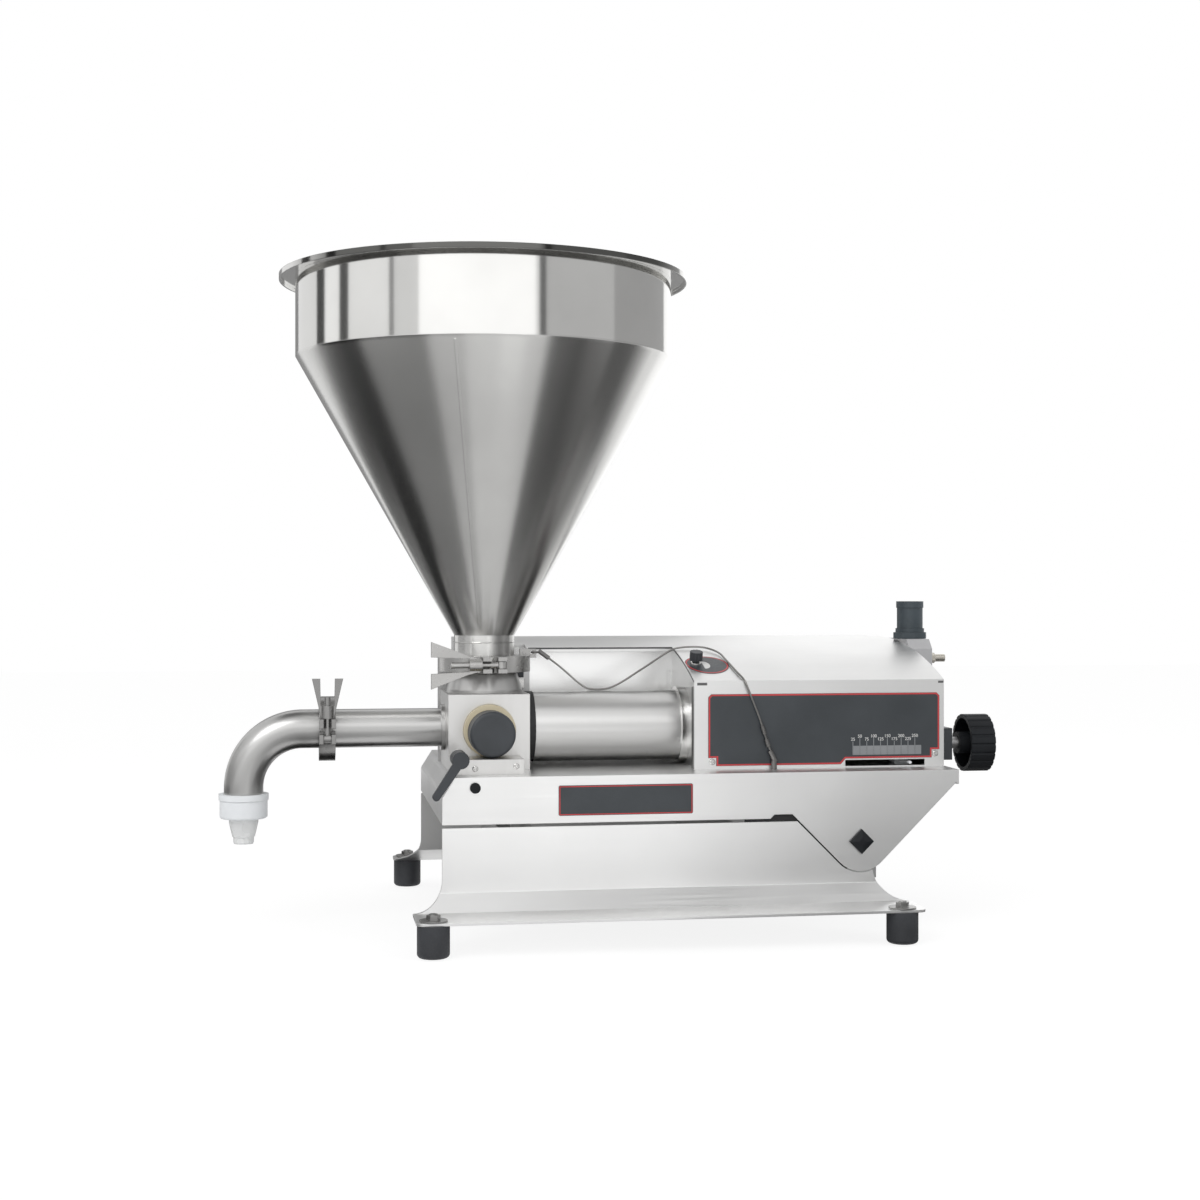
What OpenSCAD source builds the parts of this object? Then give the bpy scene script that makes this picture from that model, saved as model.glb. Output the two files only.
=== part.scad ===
// Bench-top piston depositor for batter and fillings.
// A folded base on rubber feet carries a tilting deck. The deck carries the
// rotary valve, the hopper, the dosing cylinder and the drive hood.
// Millimetres, +Z up, X to the right, Y to the back.

/* [Base frame] */
// Thickness of the folded sheet
sheet_t = 2.5; // [2:0.5:3]
// Diameter of a rubber foot
foot_d = 30; // [26:1:34]
// Height of a rubber foot
foot_h = 30; // [25:1:36]
// Distance between feet along the machine
foot_span_x = 442; // [430:1:450]
// Distance between feet across the machine
foot_span_y = 417; // [400:1:430]
// Length of the rail walls
base_len = 418; // [410:1:426]
// Flange beyond the left feet
flange_edge_left = 16; // [12:1:24]
// Flange beyond the right feet
flange_edge_right = 21; // [12:1:24]
// Width over the rail walls
base_w = 308; // [300:1:316]
// Flange outside the feet
flange_edge_y = 11.5; // [8:0.5:16]
// Height of the fold where a rail wall starts to flare
crease_z = 49; // [44:1:54]
// How far the front rail's flare runs outwards
slant_run = 14; // [8:1:18]
// How far the rear rail's flare runs outwards
rear_slant_run = 40; // [30:1:42]
// Height of the rail walls
base_top_z = 109.5; // [106:0.5:110]
// Side of a square cross tie
tie_w = 25; // [20:1:30]
// Places of the cross ties along the machine
tie_xs = [-130, 90];

/* [Tilting deck] */
// Height of the deck's top face
deck_top_z = 157; // [155:1:162]
// Depth of the deck's side walls
deck_wall_h = 44.5; // [42:0.5:45]
// Left end of the deck
deck_left = -209; // [-215:1:-205]
// Right end of the deck
deck_right = 297; // [292:1:305]
// Length of the sloping nose
nose_run = 12; // [8:1:16]
// Height of the sloping nose
nose_drop = 19; // [14:1:24]
// Pivot's place along the machine
pivot_x = 197.5; // [190:0.5:204]
// Pivot's height
pivot_z = 89; // [87:1:92]
// Radius of the deck's ears round the pivot
ear_r = 29; // [26:1:31]
// Pivot shaft diameter
pivot_d = 16; // [12:1:18]
// Side of the square pivot caps
pivot_cap_w = 17; // [15:1:19]

/* [Valve] */
// Valve and hopper axis along the machine
valve_x = -158; // [-160:1:-154]
// Product axis across the machine
axis_y = -37; // [-42:1:-32]
// Product axis height
axis_z = 196; // [192:1:200]
// Width of the valve block
block_w = 80; // [76:1:84]
// Depth of the valve block
block_d = 102; // [96:1:106]
// Height of the valve block's top
block_top_z = 231; // [228:1:236]
// Diameter of the rotary plug
plug_d = 50.6; // [48:0.2:54]
// Product port diameter
port_d = 34; // [28:1:36]
// How far the plug stands proud of the block
plug_proud = 8; // [4:1:12]
// Diameter of the plug's black cap
cap_d = 44; // [40:0.2:44.4]
// Thickness of the plug's cap
cap_t = 30; // [24:1:32]
// Diameter of the plug's drive stub
stub_d = 20; // [16:1:24]
// Height of the clamping saddle in front of the block
saddle_h = 14.5; // [12:0.5:14.5]
// Length of the saddle from the block to its front
saddle_d = 45; // [38:1:46]

/* [Hopper] */
// Diameter of the hopper's band
hopper_d = 374; // [340:2:380]
// Width of the hopper's flat rim
rim_w = 16; // [10:1:18]
// Height of the hopper's rim
rim_z = 644; // [620:2:660]
// Height of the joint of band and cone
band_z = 564; // [550:2:580]
// Height of the joint of cone and neck
neck_z = 288; // [284:1:294]
// Hopper neck diameter
neck_d = 60.3; // [56:0.1:62]
// Hopper wall
hopper_t = 2; // [1.5:0.5:2.5]

/* [Clamps] */
// Height of the hopper clamp's middle
inlet_clamp_z = 259.7; // [258:0.1:262]
// Ferrule diameter at the hopper
inlet_ferrule_d = 77.5; // [74:0.5:80]
// Outer diameter of the hopper clamp
inlet_clamp_d = 92; // [90:1:94]
// Spout clamp's place along the machine
spout_clamp_x = -314; // [-320:1:-306]
// Ferrule diameter at the spout
spout_ferrule_d = 50.5; // [49:0.5:53]
// Outer diameter of the spout clamp
spout_clamp_d = 63.5; // [62:0.5:66]
// Width of a clamp
clamp_h = 16; // [15:1:18]
// Swing bolt diameter
bolt_d = 6; // [5:0.5:7]

/* [Spout] */
// Outlet tube diameter
tube_d = 38.1; // [36:0.1:40]
// Wall of the tubes
tube_t = 1.6; // [1.2:0.2:2]
// Bend radius of the spout
bend_r = 57; // [52:1:60]
// Place of the spout's downward leg
spout_x = -395; // [-402:1:-390]
// Height of the lower end of the spout
spout_end_z = 122; // [118:1:126]
// Union nut diameter
nut_d = 48.4; // [46:0.2:52]
// Union nut height
nut_h = 24; // [20:1:26]
// Height of the nut's lower face
nut_z = 109; // [106:1:112]
// Nozzle diameter below the nut
nozzle_d = 28.5; // [25:0.5:30]
// Nozzle diameter above its tip
nozzle_tip_d = 22; // [20:0.5:24]
// Height of the nozzle's tip
nozzle_z = 84; // [78:1:90]

/* [Dosing cylinder] */
// Outer diameter of the dosing cylinder
cyl_d = 70.5; // [67:0.5:72]
// Bore of the dosing cylinder
cyl_bore = 63; // [60:1:64]
// Width of the seal between block and cylinder
seal_w = 8; // [6:1:10]
// Length of the piston
piston_len = 30; // [24:1:36]
// Piston rod diameter
rod_d = 20; // [16:1:24]
// Diameter of the cylinder's end ring
ring_d = 77; // [74:1:77]
// Thickness of the cylinder's end ring
ring_t = 9; // [7:1:11]
// Bore of the air cylinder
air_bore = 63; // [60:1:64]
// Length of the air cylinder's barrel
barrel_len = 116; // [114:1:120]
// Thickness of an air cylinder head
head_t = 18; // [16:1:20]

/* [Hood] */
// Thickness of the hood's sheet
hood_t = 2; // [1.5:0.5:2.5]
// Left end of the drive part of the hood
hood_left = 40; // [38:1:42]
// Right end of the hood
hood_right = 295; // [290:1:297]
// Front face of the hood
hood_front = -117; // [-122:1:-114]
// Back face of the hood
hood_back = 150; // [146:1:152]
// Height of the hood's flat crest
hood_top_z = 282; // [278:1:288]
// Radius of the rolled roof
roof_r = 560; // [540:10:600]
// Where the rolled roof becomes flat
crest_y = 86; // [80:1:92]
// Left end of the valve drive part of the hood
rear_left = -176; // [-178:1:-170]
// Front edge of the roof over the dosing cylinder
lip_y = -7; // [-12:1:-4]
// Setback of the drive part's left end plate
end_setback = 6; // [5:1:8]

/* [Dose setting] */
// Handwheel diameter
wheel_d = 58; // [54:1:62]
// Handwheel width
wheel_w = 25; // [20:1:28]
// Inner face of the handwheel
wheel_x = 326.5; // [324:0.5:332]
// Spindle's place across the machine
spindle_y = -84; // [-86:1:-83]
// Spindle's height
spindle_z = 177.5; // [175:0.5:180]
// Spindle diameter
spindle_d = 12; // [10:1:12]
// Place of the pointer along the machine
pointer_x = 259; // [250:1:262]
// Left end of the scale slot
slot_left = 193; // [190:1:196]
// Right end of the scale slot
slot_right = 275; // [272:1:286]

/* [Lanyard] */
// Diameter of the retaining wire
wire_d = 2; // [1.6:0.2:2.4]

/* [Hidden] */
$fn = 64;
// Gap between faces that move past each other
run_gap = 0.3;
// Radial clearance of a running fit
fit = 0.1;
// Gap of the seam between rail and deck
seam_gap = 1.5;
// The deck's walls stand this much outside the rails
deck_offset = 0.5;
// Gasket thickness
gasket_t = 2;
// Thickness of a ferrule's rim
ferrule_t = 2.4;
// Angle of a ferrule's taper
ferrule_a = 20;
// Turn of the hopper clamp about the hopper
inlet_clamp_turn = 5;
// Cosine of 45 degrees
diag = sqrt(0.5);

flange_left = -foot_span_x / 2 - flange_edge_left;
flange_right = foot_span_x / 2 + flange_edge_right;
flange_w = foot_span_y + 2 * flange_edge_y;
deck_w = base_w + 2 * deck_offset;
deck_low_z = deck_top_z - deck_wall_h;
block_left = valve_x - block_w / 2;
block_right = valve_x + block_w / 2;
block_front = axis_y - block_d / 2;
block_back = axis_y + block_d / 2;
plate_t = 6;
rear_wall_y = block_back + plate_t;
seal_right = block_right + seal_w;
end_plate_x = hood_left + end_setback;
inner_left = end_plate_x + hood_t;
piston_gap = 4;
piston_left = seal_right + piston_gap;
piston_right = piston_left + piston_len;
barrel_left = inner_left + head_t;
barrel_right = barrel_left + barrel_len;
air_piston_t = 14;
air_piston_left = barrel_left + piston_gap;
head_w = 74;
bearing_w = 32;
bearing_t = 15;
slot_low = deck_top_z + 1.5;
slot_high = deck_top_z + 7.5;
pointer_z = (slot_low + slot_high) / 2;
cap_front = block_front - plug_proud - cap_t;
cap_drop = 1.6;
lever_in = 6;
lever_up = 2;
lever_x = block_left + lever_in;
lever_z = deck_top_z + saddle_h + lever_up;
lever_r = 8;
saddle_front = block_front - saddle_d;
saddle_right = block_right - 11;
roof_mid_z = hood_top_z - roof_r;
knob_x = 51;
knob_y = -73;
knob_a = asin((crest_y - knob_y) / roof_r);
manifold_w = 25;
manifold_y = 28;
manifold_d = 80;
manifold_top = 281;
manifold_h = 48;
wheel_right = wheel_x + wheel_w;
spout_left = spout_x - nut_d / 2;
rim_d = hopper_d + 2 * rim_w;
hopper_front = axis_y - rim_d / 2;
base_back = foot_span_y / 2 + foot_d / 2;
// The origin stands under the middle of the whole machine
origin_x = (spout_left + wheel_right) / 2;
origin_y = (hopper_front + base_back) / 2;

// Height of the roof's outer face at a place across the machine
function roof_z(y) = roof_mid_z + sqrt(roof_r * roof_r - (y - crest_y) * (y - crest_y));

// Moves the machine from its own frame to the origin
module place() {
  translate([-origin_x, -origin_y, 0]) children();
}

// Stands a YZ outline along X, from one place to another
module along_x(x0, x1) {
  translate([x0, 0, 0]) rotate([90, 0, 90]) linear_extrude(x1 - x0) children();
}

// Stands an XZ outline along Y, from one place to another
module along_y(y0, y1) {
  translate([0, y1, 0]) rotate([90, 0, 0]) linear_extrude(y1 - y0) children();
}

// A box given by its two corners
module span(a, b) {
  translate(a) cube(b - a);
}

// A round bar along X
module bar_x(d, x0, x1, y, z) {
  translate([x0, y, z]) rotate([0, 90, 0]) cylinder(d = d, h = x1 - x0);
}

// A round bar along Y
module bar_y(d, y0, y1, x, z) {
  translate([x, y1, z]) rotate([90, 0, 0]) cylinder(d = d, h = y1 - y0);
}

// A rectangle with round corners, centred
module round_rect(w, h, r) {
  square([w - 2 * r, h], center = true);
  square([w, h - 2 * r], center = true);
  for (sx = [-1, 1], sy = [-1, 1])
    translate([sx * (w / 2 - r), sy * (h / 2 - r)]) circle(r);
}

// Base frame

// Folded section of a rail: wall, flare and flange
module rail_section(run) {
  slope_a = atan2(crease_z - foot_h - sheet_t, run);
  low_turn = sheet_t * tan(slope_a / 2);
  high_turn = sheet_t * tan((90 - slope_a) / 2);
  wall = base_w / 2;
  polygon([
    [wall, base_top_z], [wall, crease_z], [wall + run, foot_h + sheet_t],
    [flange_w / 2, foot_h + sheet_t], [flange_w / 2, foot_h],
    [wall + run - low_turn, foot_h], [wall - sheet_t, crease_z - high_turn],
    [wall - sheet_t, base_top_z]
  ]);
}

// The ear's outline round the pivot, widening upwards at 45 degrees
module ear_shape(r, up) {
  reach = r * diag;
  translate([pivot_x, pivot_z]) {
    circle(r);
    polygon([[0, 0], [-reach, -reach], [-reach - up, up - reach], [reach + up, up - reach],
             [reach, -reach]]);
  }
}

// Front view of a rail: curved ends and the cut that clears the ear
module rail_outline() {
  left_r = -base_len / 2 - flange_left;
  right_r = flange_right - base_len / 2;
  clear_r = ear_r + seam_gap;
  difference() {
    union() {
      translate([-base_len / 2, 0]) square([base_len, base_top_z]);
      translate([flange_left, 0]) square([flange_right - flange_left, foot_h + sheet_t]);
      translate([-base_len / 2, foot_h + sheet_t]) difference() {
        translate([-left_r, 0]) square(left_r);
        translate([-left_r, left_r]) circle(left_r);
      }
      translate([base_len / 2, foot_h + sheet_t]) difference() {
        square(right_r);
        translate([right_r, right_r]) circle(right_r);
      }
    }
    ear_shape(clear_r, base_top_z);
  }
}

module rail(run) {
  corner_r = 8;
  difference() {
    intersection() {
      along_x(flange_left, flange_right) rail_section(run);
      along_y(0, flange_w) rail_outline();
      translate([(flange_left + flange_right) / 2, 0, 0]) linear_extrude(base_top_z)
        round_rect(flange_right - flange_left, flange_w, corner_r);
    }
    for (s = [-1, 1])
      translate([s * foot_span_x / 2, foot_span_y / 2, 0])
        cylinder(d = stud_d + 2 * run_gap, h = base_top_z);
  }
}

stud_d = 8;

module base_rail_front() {
  color("gainsboro") mirror([0, 1, 0]) rail(slant_run);
}

module base_rail_rear() {
  color("gainsboro") rail(rear_slant_run);
}

// Square tubes between the rail walls; the left one carries the posts the deck rests on
module base_ties() {
  wall = 2;
  tie_z = 80;
  post_d = 20;
  post_y = 110;
  inner = base_w / 2 - sheet_t;
  post_low = tie_z + tie_w / 2;
  color("silver") {
    for (x = tie_xs)
      translate([x, 0, tie_z]) along_y(-inner, inner) difference() {
        square(tie_w, center = true);
        square(tie_w - 2 * wall, center = true);
      }
    for (s = [-1, 1])
      translate([tie_xs[0], s * post_y, post_low])
        cylinder(d = post_d, h = deck_top_z - sheet_t - run_gap - post_low);
  }
}

// Plates inside the rails that hold the pivot shaft
lug_t = 6;
module pivot_lugs() {
  lug_r = 16;
  inner = base_w / 2 - sheet_t;
  color("silver")
    for (s = [-1, 1])
      along_y(s > 0 ? inner - lug_t : -inner, s > 0 ? inner : -inner + lug_t) difference() {
        union() {
          translate([pivot_x, pivot_z]) circle(lug_r);
          translate([pivot_x - lug_r, crease_z + 4]) square([2 * lug_r, pivot_z - crease_z - 4]);
        }
        translate([pivot_x, pivot_z]) circle(d = pivot_d);
      }
}

module pivot_shaft() {
  half = deck_w / 2 + run_gap;
  color("lightsteelblue") bar_y(pivot_d, -half, half, pivot_x, pivot_z);
}

// Square plastic caps set on their corners, with low pyramid faces
module pivot_caps() {
  cap_rim = 3;
  cap_crown = 2.5;
  half = deck_w / 2 + run_gap;
  color("#23272b")
    for (s = [-1, 1])
      translate([pivot_x, s * half, pivot_z]) rotate([s > 0 ? -90 : 90, 0, 0]) {
        rotate(45) linear_extrude(cap_rim) square(pivot_cap_w, center = true);
        translate([0, 0, cap_rim])
          cylinder(d1 = pivot_cap_w / diag, d2 = pivot_cap_w / diag / 3, h = cap_crown, $fn = 4);
      }
}

// Rubber buffers with a rounded lower edge
module rubber_feet() {
  edge_r = 4;
  color("#2a2d33")
    for (sx = [-1, 1], sy = [-1, 1])
      translate([sx * foot_span_x / 2, sy * foot_span_y / 2, 0]) rotate_extrude() {
        square([foot_d / 2 - edge_r, foot_h]);
        translate([0, edge_r]) square([foot_d / 2, foot_h - edge_r]);
        translate([foot_d / 2 - edge_r, edge_r]) circle(edge_r);
      }
}

// Stud, washer and hexagon nut above each foot
module foot_fixings() {
  washer_d = 26;
  washer_t = 1.6;
  nut_w = 13;
  hex_h = 4.5;
  stud_up = 1;
  color("silver")
    for (sx = [-1, 1], sy = [-1, 1])
      translate([sx * foot_span_x / 2, sy * foot_span_y / 2, foot_h]) {
        cylinder(d = stud_d, h = sheet_t + washer_t + hex_h + stud_up);
        translate([0, 0, sheet_t]) cylinder(d = washer_d, h = washer_t);
        translate([0, 0, sheet_t + washer_t]) cylinder(d = nut_w, h = hex_h, $fn = 6);
      }
}

// Tilting deck

// Front view of a deck wall: nose, top edge, ear and the relief at the seam's top
module deck_outline() {
  ear_low = ear_r / diag;
  seam_x = pivot_x - ear_low - (deck_low_z - pivot_z);
  relief_w = 22;
  relief_h = 4;
  polygon([
    [deck_left, deck_low_z], [deck_left, deck_top_z - nose_drop],
    [deck_left + nose_run, deck_top_z], [deck_right, deck_top_z],
    [deck_right, pivot_z + deck_right - pivot_x - ear_low],
    [pivot_x + ear_r * diag, pivot_z - ear_r * diag], [pivot_x, pivot_z],
    [pivot_x - ear_r * diag, pivot_z - ear_r * diag],
    [seam_x - relief_h, deck_low_z + relief_h], [seam_x - relief_w, deck_low_z + relief_h],
    [seam_x - relief_w - relief_h, deck_low_z]
  ]);
  translate([pivot_x, pivot_z]) circle(ear_r);
}

// Sheet over the top and down the nose, and the flap at the right end
module deck_sheet_outline() {
  turn = sheet_t * tan(atan2(nose_run, nose_drop) / 2);
  top_turn = sheet_t * tan(atan2(nose_drop, nose_run) / 2);
  flap_h = 14;
  polygon([
    [deck_left, deck_low_z], [deck_left, deck_top_z - nose_drop],
    [deck_left + nose_run, deck_top_z], [deck_right, deck_top_z],
    [deck_right, deck_top_z - flap_h], [deck_right - sheet_t, deck_top_z - flap_h],
    [deck_right - sheet_t, deck_top_z - sheet_t],
    [deck_left + nose_run + top_turn, deck_top_z - sheet_t],
    [deck_left + sheet_t, deck_top_z - nose_drop - turn], [deck_left + sheet_t, deck_low_z]
  ]);
}

plug_x = -178;
plug_z = 147;
plug_r = 5;
module deck() {
  half = deck_w / 2;
  color("whitesmoke") difference() {
    union() {
      along_y(-half, half) deck_sheet_outline();
      for (s = [-1, 1])
        along_y(s > 0 ? half - sheet_t : -half, s > 0 ? half : -half + sheet_t) deck_outline();
    }
    bar_y(pivot_d + 2 * fit, -half - 1, half + 1, pivot_x, pivot_z);
    bar_y(plug_r, -half - 1, -half + sheet_t + 1, plug_x, plug_z);
  }
}

// Black plastic plug in the deck's front wall
module deck_plug() {
  half = deck_w / 2;
  head_h = 2.5;
  color("#23272b") {
    bar_y(2 * plug_r, -half - head_h, -half, plug_x, plug_z);
    bar_y(plug_r - 2 * fit, -half, -half + sheet_t, plug_x, plug_z);
  }
}

// Bare plate on the deck's front wall
module nameplate() {
  plate_w = 129.5;
  plate_h = 28.5;
  plate_x = -34.25;
  plate_z = 133.7;
  thick = 1;
  half = deck_w / 2;
  color("#33383d")
    along_y(-half - thick, -half) translate([plate_x, plate_z]) round_rect(plate_w, plate_h, 1.5);
}

// Rotary valve

// Block with a cross bore for the plug and ports to hopper, cylinder and spout
module valve_block() {
  bore_back = block_back - 8;
  color("lightgray") difference() {
    span([block_left, block_front, deck_top_z], [block_right, block_back, block_top_z]);
    bar_y(plug_d + 2 * fit, block_front - 1, bore_back, valve_x, axis_z);
    bar_y(stub_d + 4 * fit, bore_back - 1, block_back + 1, valve_x, axis_z);
    bar_x(port_d, block_left - 1, block_right + 1, axis_y, axis_z);
    translate([valve_x, axis_y, axis_z]) cylinder(d = port_d, h = block_top_z);
  }
}

// Saddle that holds the block's foot, with a hollow under the plug and the ear for the lever's stud
module block_saddle() {
  ear_t = 6;
  color("gainsboro") difference() {
    union() {
      span([block_left, saddle_front, deck_top_z],
           [saddle_right, block_front, deck_top_z + saddle_h]);
      bar_y(2 * lever_r, saddle_front, saddle_front + ear_t, lever_x, lever_z);
    }
    bar_y(lever_stud_d + 2 * fit, saddle_front - 1, saddle_front + lever_stud_len + 1,
          lever_x, lever_z);
    bar_y(plug_d + 4 * run_gap, block_front - plug_proud - 2 * run_gap, block_front + 1,
          valve_x, axis_z);
  }
}

lever_stud_d = 8;
lever_stud_len = 8;

// Plug with three arms: hopper to cylinder at rest, cylinder to spout after a quarter turn
module valve_plug() {
  front = block_front - plug_proud;
  back = block_back - 8 - run_gap;
  stub_end = rear_wall_y + 14;
  color("wheat") difference() {
    union() {
      bar_y(plug_d, front, back, valve_x, axis_z);
      bar_y(stub_d, back - 1, stub_end, valve_x, axis_z);
    }
    translate([valve_x, axis_y, axis_z - plug_d]) cylinder(d = port_d, h = 2 * plug_d);
    bar_x(port_d, valve_x, valve_x + plug_d, axis_y, axis_z);
    for (y = seal_ys)
      translate([valve_x, y, axis_z]) rotate([90, 0, 0]) rotate_extrude()
        translate([plug_d / 2 - groove_h, -groove_w / 2]) square([groove_h + 1, groove_w]);
  }
}

groove_w = 3.2;
groove_h = 2.6;
seal_front_in = 14;
seal_back_in = 20;
seal_ys = [block_front + seal_front_in, block_back - seal_back_in];

// Rings in the plug's two grooves
module plug_seals() {
  ring_r = groove_h / 2 - fit;
  color("#3a3a3a")
    for (y = seal_ys)
      translate([valve_x, y, axis_z]) rotate([90, 0, 0]) rotate_extrude()
        translate([plug_d / 2 - groove_h / 2, 0]) circle(ring_r);
}

// Black cap on the front of the plug, with a rounded front edge
module plug_cap() {
  edge_r = 3;
  color("#2b3036")
    translate([valve_x, block_front - plug_proud, axis_z - cap_drop]) rotate([90, 0, 0]) rotate_extrude() {
      square([cap_d / 2 - edge_r, cap_t]);
      square([cap_d / 2, cap_t - edge_r]);
      translate([cap_d / 2 - edge_r, cap_t - edge_r]) circle(edge_r);
    }
}

// Clamp lever: stud, hub and a tapering arm that hangs past the deck's nose
module clamp_lever() {
  arm_len = 41;
  arm_w = 9;
  tip_w = 7;
  arm_t = 7;
  arm_a = 56;
  arm_front = deck_w / 2 + 1 + arm_t;
  color("#2b3036") {
    bar_y(lever_stud_d, saddle_front, saddle_front + lever_stud_len, lever_x, lever_z);
    bar_y(2 * lever_r, -arm_front, saddle_front - run_gap, lever_x, lever_z);
    bar_y(lever_stud_d, saddle_front - run_gap - 1, saddle_front + 1, lever_x, lever_z);
    along_y(-arm_front, -arm_front + arm_t) translate([lever_x, lever_z]) rotate(180 + arm_a) {
      polygon([[0, -arm_w / 2], [arm_len, -tip_w / 2], [arm_len, tip_w / 2], [0, arm_w / 2]]);
      translate([arm_len, 0]) circle(d = tip_w);
    }
  }
}

// Hopper and its ferrules

// Rise of a ferrule's taper from its rim to the tube
function taper_h(ferrule_d, d) = (ferrule_d - d) / 2 * tan(ferrule_a);

// Turned boss on the block, with the lower ferrule
module inlet_ferrule() {
  boss_r = 38;
  bore_top = neck_d / 2 - hopper_t;
  face = inlet_clamp_z - gasket_t / 2;
  rim_low = face - ferrule_t;
  neck_low = rim_low - taper_h(inlet_ferrule_d, neck_d);
  color("darkgray") translate([valve_x, axis_y, 0]) rotate_extrude()
    polygon([
      [port_d / 2, block_top_z], [boss_r, block_top_z], [boss_r, block_top_z + 3],
      [neck_d / 2 + 3, neck_low - 4], [neck_d / 2, neck_low],
      [inlet_ferrule_d / 2, rim_low], [inlet_ferrule_d / 2, face], [bore_top, face]
    ]);
}

module hopper_gasket() {
  color("#d8d4c8") translate([valve_x, axis_y, inlet_clamp_z]) linear_extrude(gasket_t, center = true)
    difference() {
      circle(d = inlet_ferrule_d);
      circle(d = neck_d - 2 * hopper_t);
    }
}

// Spun hopper: ferrule, neck, cone, band and flat rim in one wall
module hopper() {
  t = hopper_t;
  face = inlet_clamp_z + gasket_t / 2;
  rim_top = face + ferrule_t;
  r_neck = neck_d / 2;
  r_band = hopper_d / 2;
  cone_a = atan2(band_z - neck_z, r_band - r_neck);
  low_turn = t * tan((90 - cone_a) / 2);
  lip_drop = 3;
  color("lightgray") translate([valve_x, axis_y, 0]) rotate_extrude($fn = 128)
    polygon([
      [r_neck - t, face], [inlet_ferrule_d / 2, face], [inlet_ferrule_d / 2, rim_top],
      [r_neck, rim_top + taper_h(inlet_ferrule_d, neck_d)], [r_neck, neck_z],
      [r_band, band_z], [r_band, rim_z - t], [rim_d / 2 - t, rim_z - t],
      [rim_d / 2 - t, rim_z - t - lip_drop], [rim_d / 2, rim_z - t - lip_drop],
      [rim_d / 2, rim_z], [r_band - t, rim_z], [r_band - t, band_z + low_turn],
      [r_neck - t, neck_z + low_turn]
    ]);
}

// Hinged clamps, drawn about their ring's axis with the swing bolt in front

split = 3;
lug_in = 3;
lug_out = 12;
bolt_off = 7;
pin_d = 5;
knuckle_d = 10;
hinge_off = 5.5;
knuckle_gap = 0.3;
eye_d = 10;
bolt_pin_x = (lug_in + lug_out) / 2;

// Section of a clamp ring with its V groove
module clamp_section(ferrule_d, tube, clamp_d) {
  groove_r = ferrule_d / 2 + run_gap;
  inner_r = tube / 2 + 1.5;
  rim = gasket_t / 2 + ferrule_t + run_gap;
  taper = rim + (groove_r - inner_r) * tan(ferrule_a);
  polygon([
    [clamp_d / 2, -clamp_h / 2], [clamp_d / 2, clamp_h / 2], [inner_r, clamp_h / 2],
    [inner_r, taper], [groove_r, rim], [groove_r, -rim], [inner_r, -taper],
    [inner_r, -clamp_h / 2]
  ]);
}

// One half of a clamp: side -1 carries the nut, side 1 carries the bolt's pin
module clamp_half(side, ferrule_d, tube, clamp_d) {
  r = clamp_d / 2;
  bolt_y = -r - bolt_off;
  hinge_y = r + hinge_off;
  lug_d = 13;
  knuckle_z = clamp_h / 6;
  slot = bolt_d / 2 + 0.8;
  difference() {
    union() {
      intersection() {
        rotate_extrude() clamp_section(ferrule_d, tube, clamp_d);
        translate([side > 0 ? split / 2 : -2 * r - split / 2, -2 * r, -clamp_h])
          cube([2 * r, 4 * r, 2 * clamp_h]);
      }
      translate([side > 0 ? lug_in : -lug_out, bolt_y - lug_d / 2, -clamp_h / 2])
        cube([lug_out - lug_in, bolt_off + lug_d / 2 + 4, clamp_h]);
      for (z = side > 0 ? [[knuckle_z + knuckle_gap, clamp_h / 2],
                           [-clamp_h / 2, -knuckle_z - knuckle_gap]]
                        : [[-knuckle_z, knuckle_z]])
        translate([0, 0, z[0]]) linear_extrude(z[1] - z[0]) {
          translate([0, hinge_y]) circle(d = knuckle_d);
          translate([side > 0 ? split / 2 : -9 - split / 2, r - 4]) square([9, hinge_off + 4]);
        }
    }
    translate([side > 0 ? lug_in - 1 : -lug_out - 1, bolt_y - lug_d, -slot])
      cube([lug_out - lug_in + 2, lug_d + eye_d / 2 + 0.5, 2 * slot]);
    translate([0, hinge_y, 0]) cylinder(d = pin_d + 2 * fit, h = 2 * clamp_h, center = true);
    if (side > 0)
      translate([bolt_pin_x, bolt_y, 0]) cylinder(d = pin_d + 2 * fit, h = 2 * clamp_h, center = true);
  }
}

// Hinge pin and the swing bolt's pin
module clamp_pins(clamp_d) {
  r = clamp_d / 2;
  for (p = [[0, r + hinge_off], [bolt_pin_x, -r - bolt_off]])
    translate([p[0], p[1], 0]) cylinder(d = pin_d, h = clamp_h, center = true);
}

// Swing bolt with an eye on its pin
module clamp_bolt(clamp_d, bolt_len) {
  bolt_y = -clamp_d / 2 - bolt_off;
  difference() {
    union() {
      bar_x(bolt_d, -bolt_len, bolt_pin_x, bolt_y, 0);
      translate([bolt_pin_x, bolt_y, 0]) cylinder(d = eye_d, h = bolt_d + 0.8, center = true);
    }
    translate([bolt_pin_x, bolt_y, 0]) cylinder(d = pin_d + 2 * fit, h = clamp_h, center = true);
  }
}

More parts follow.
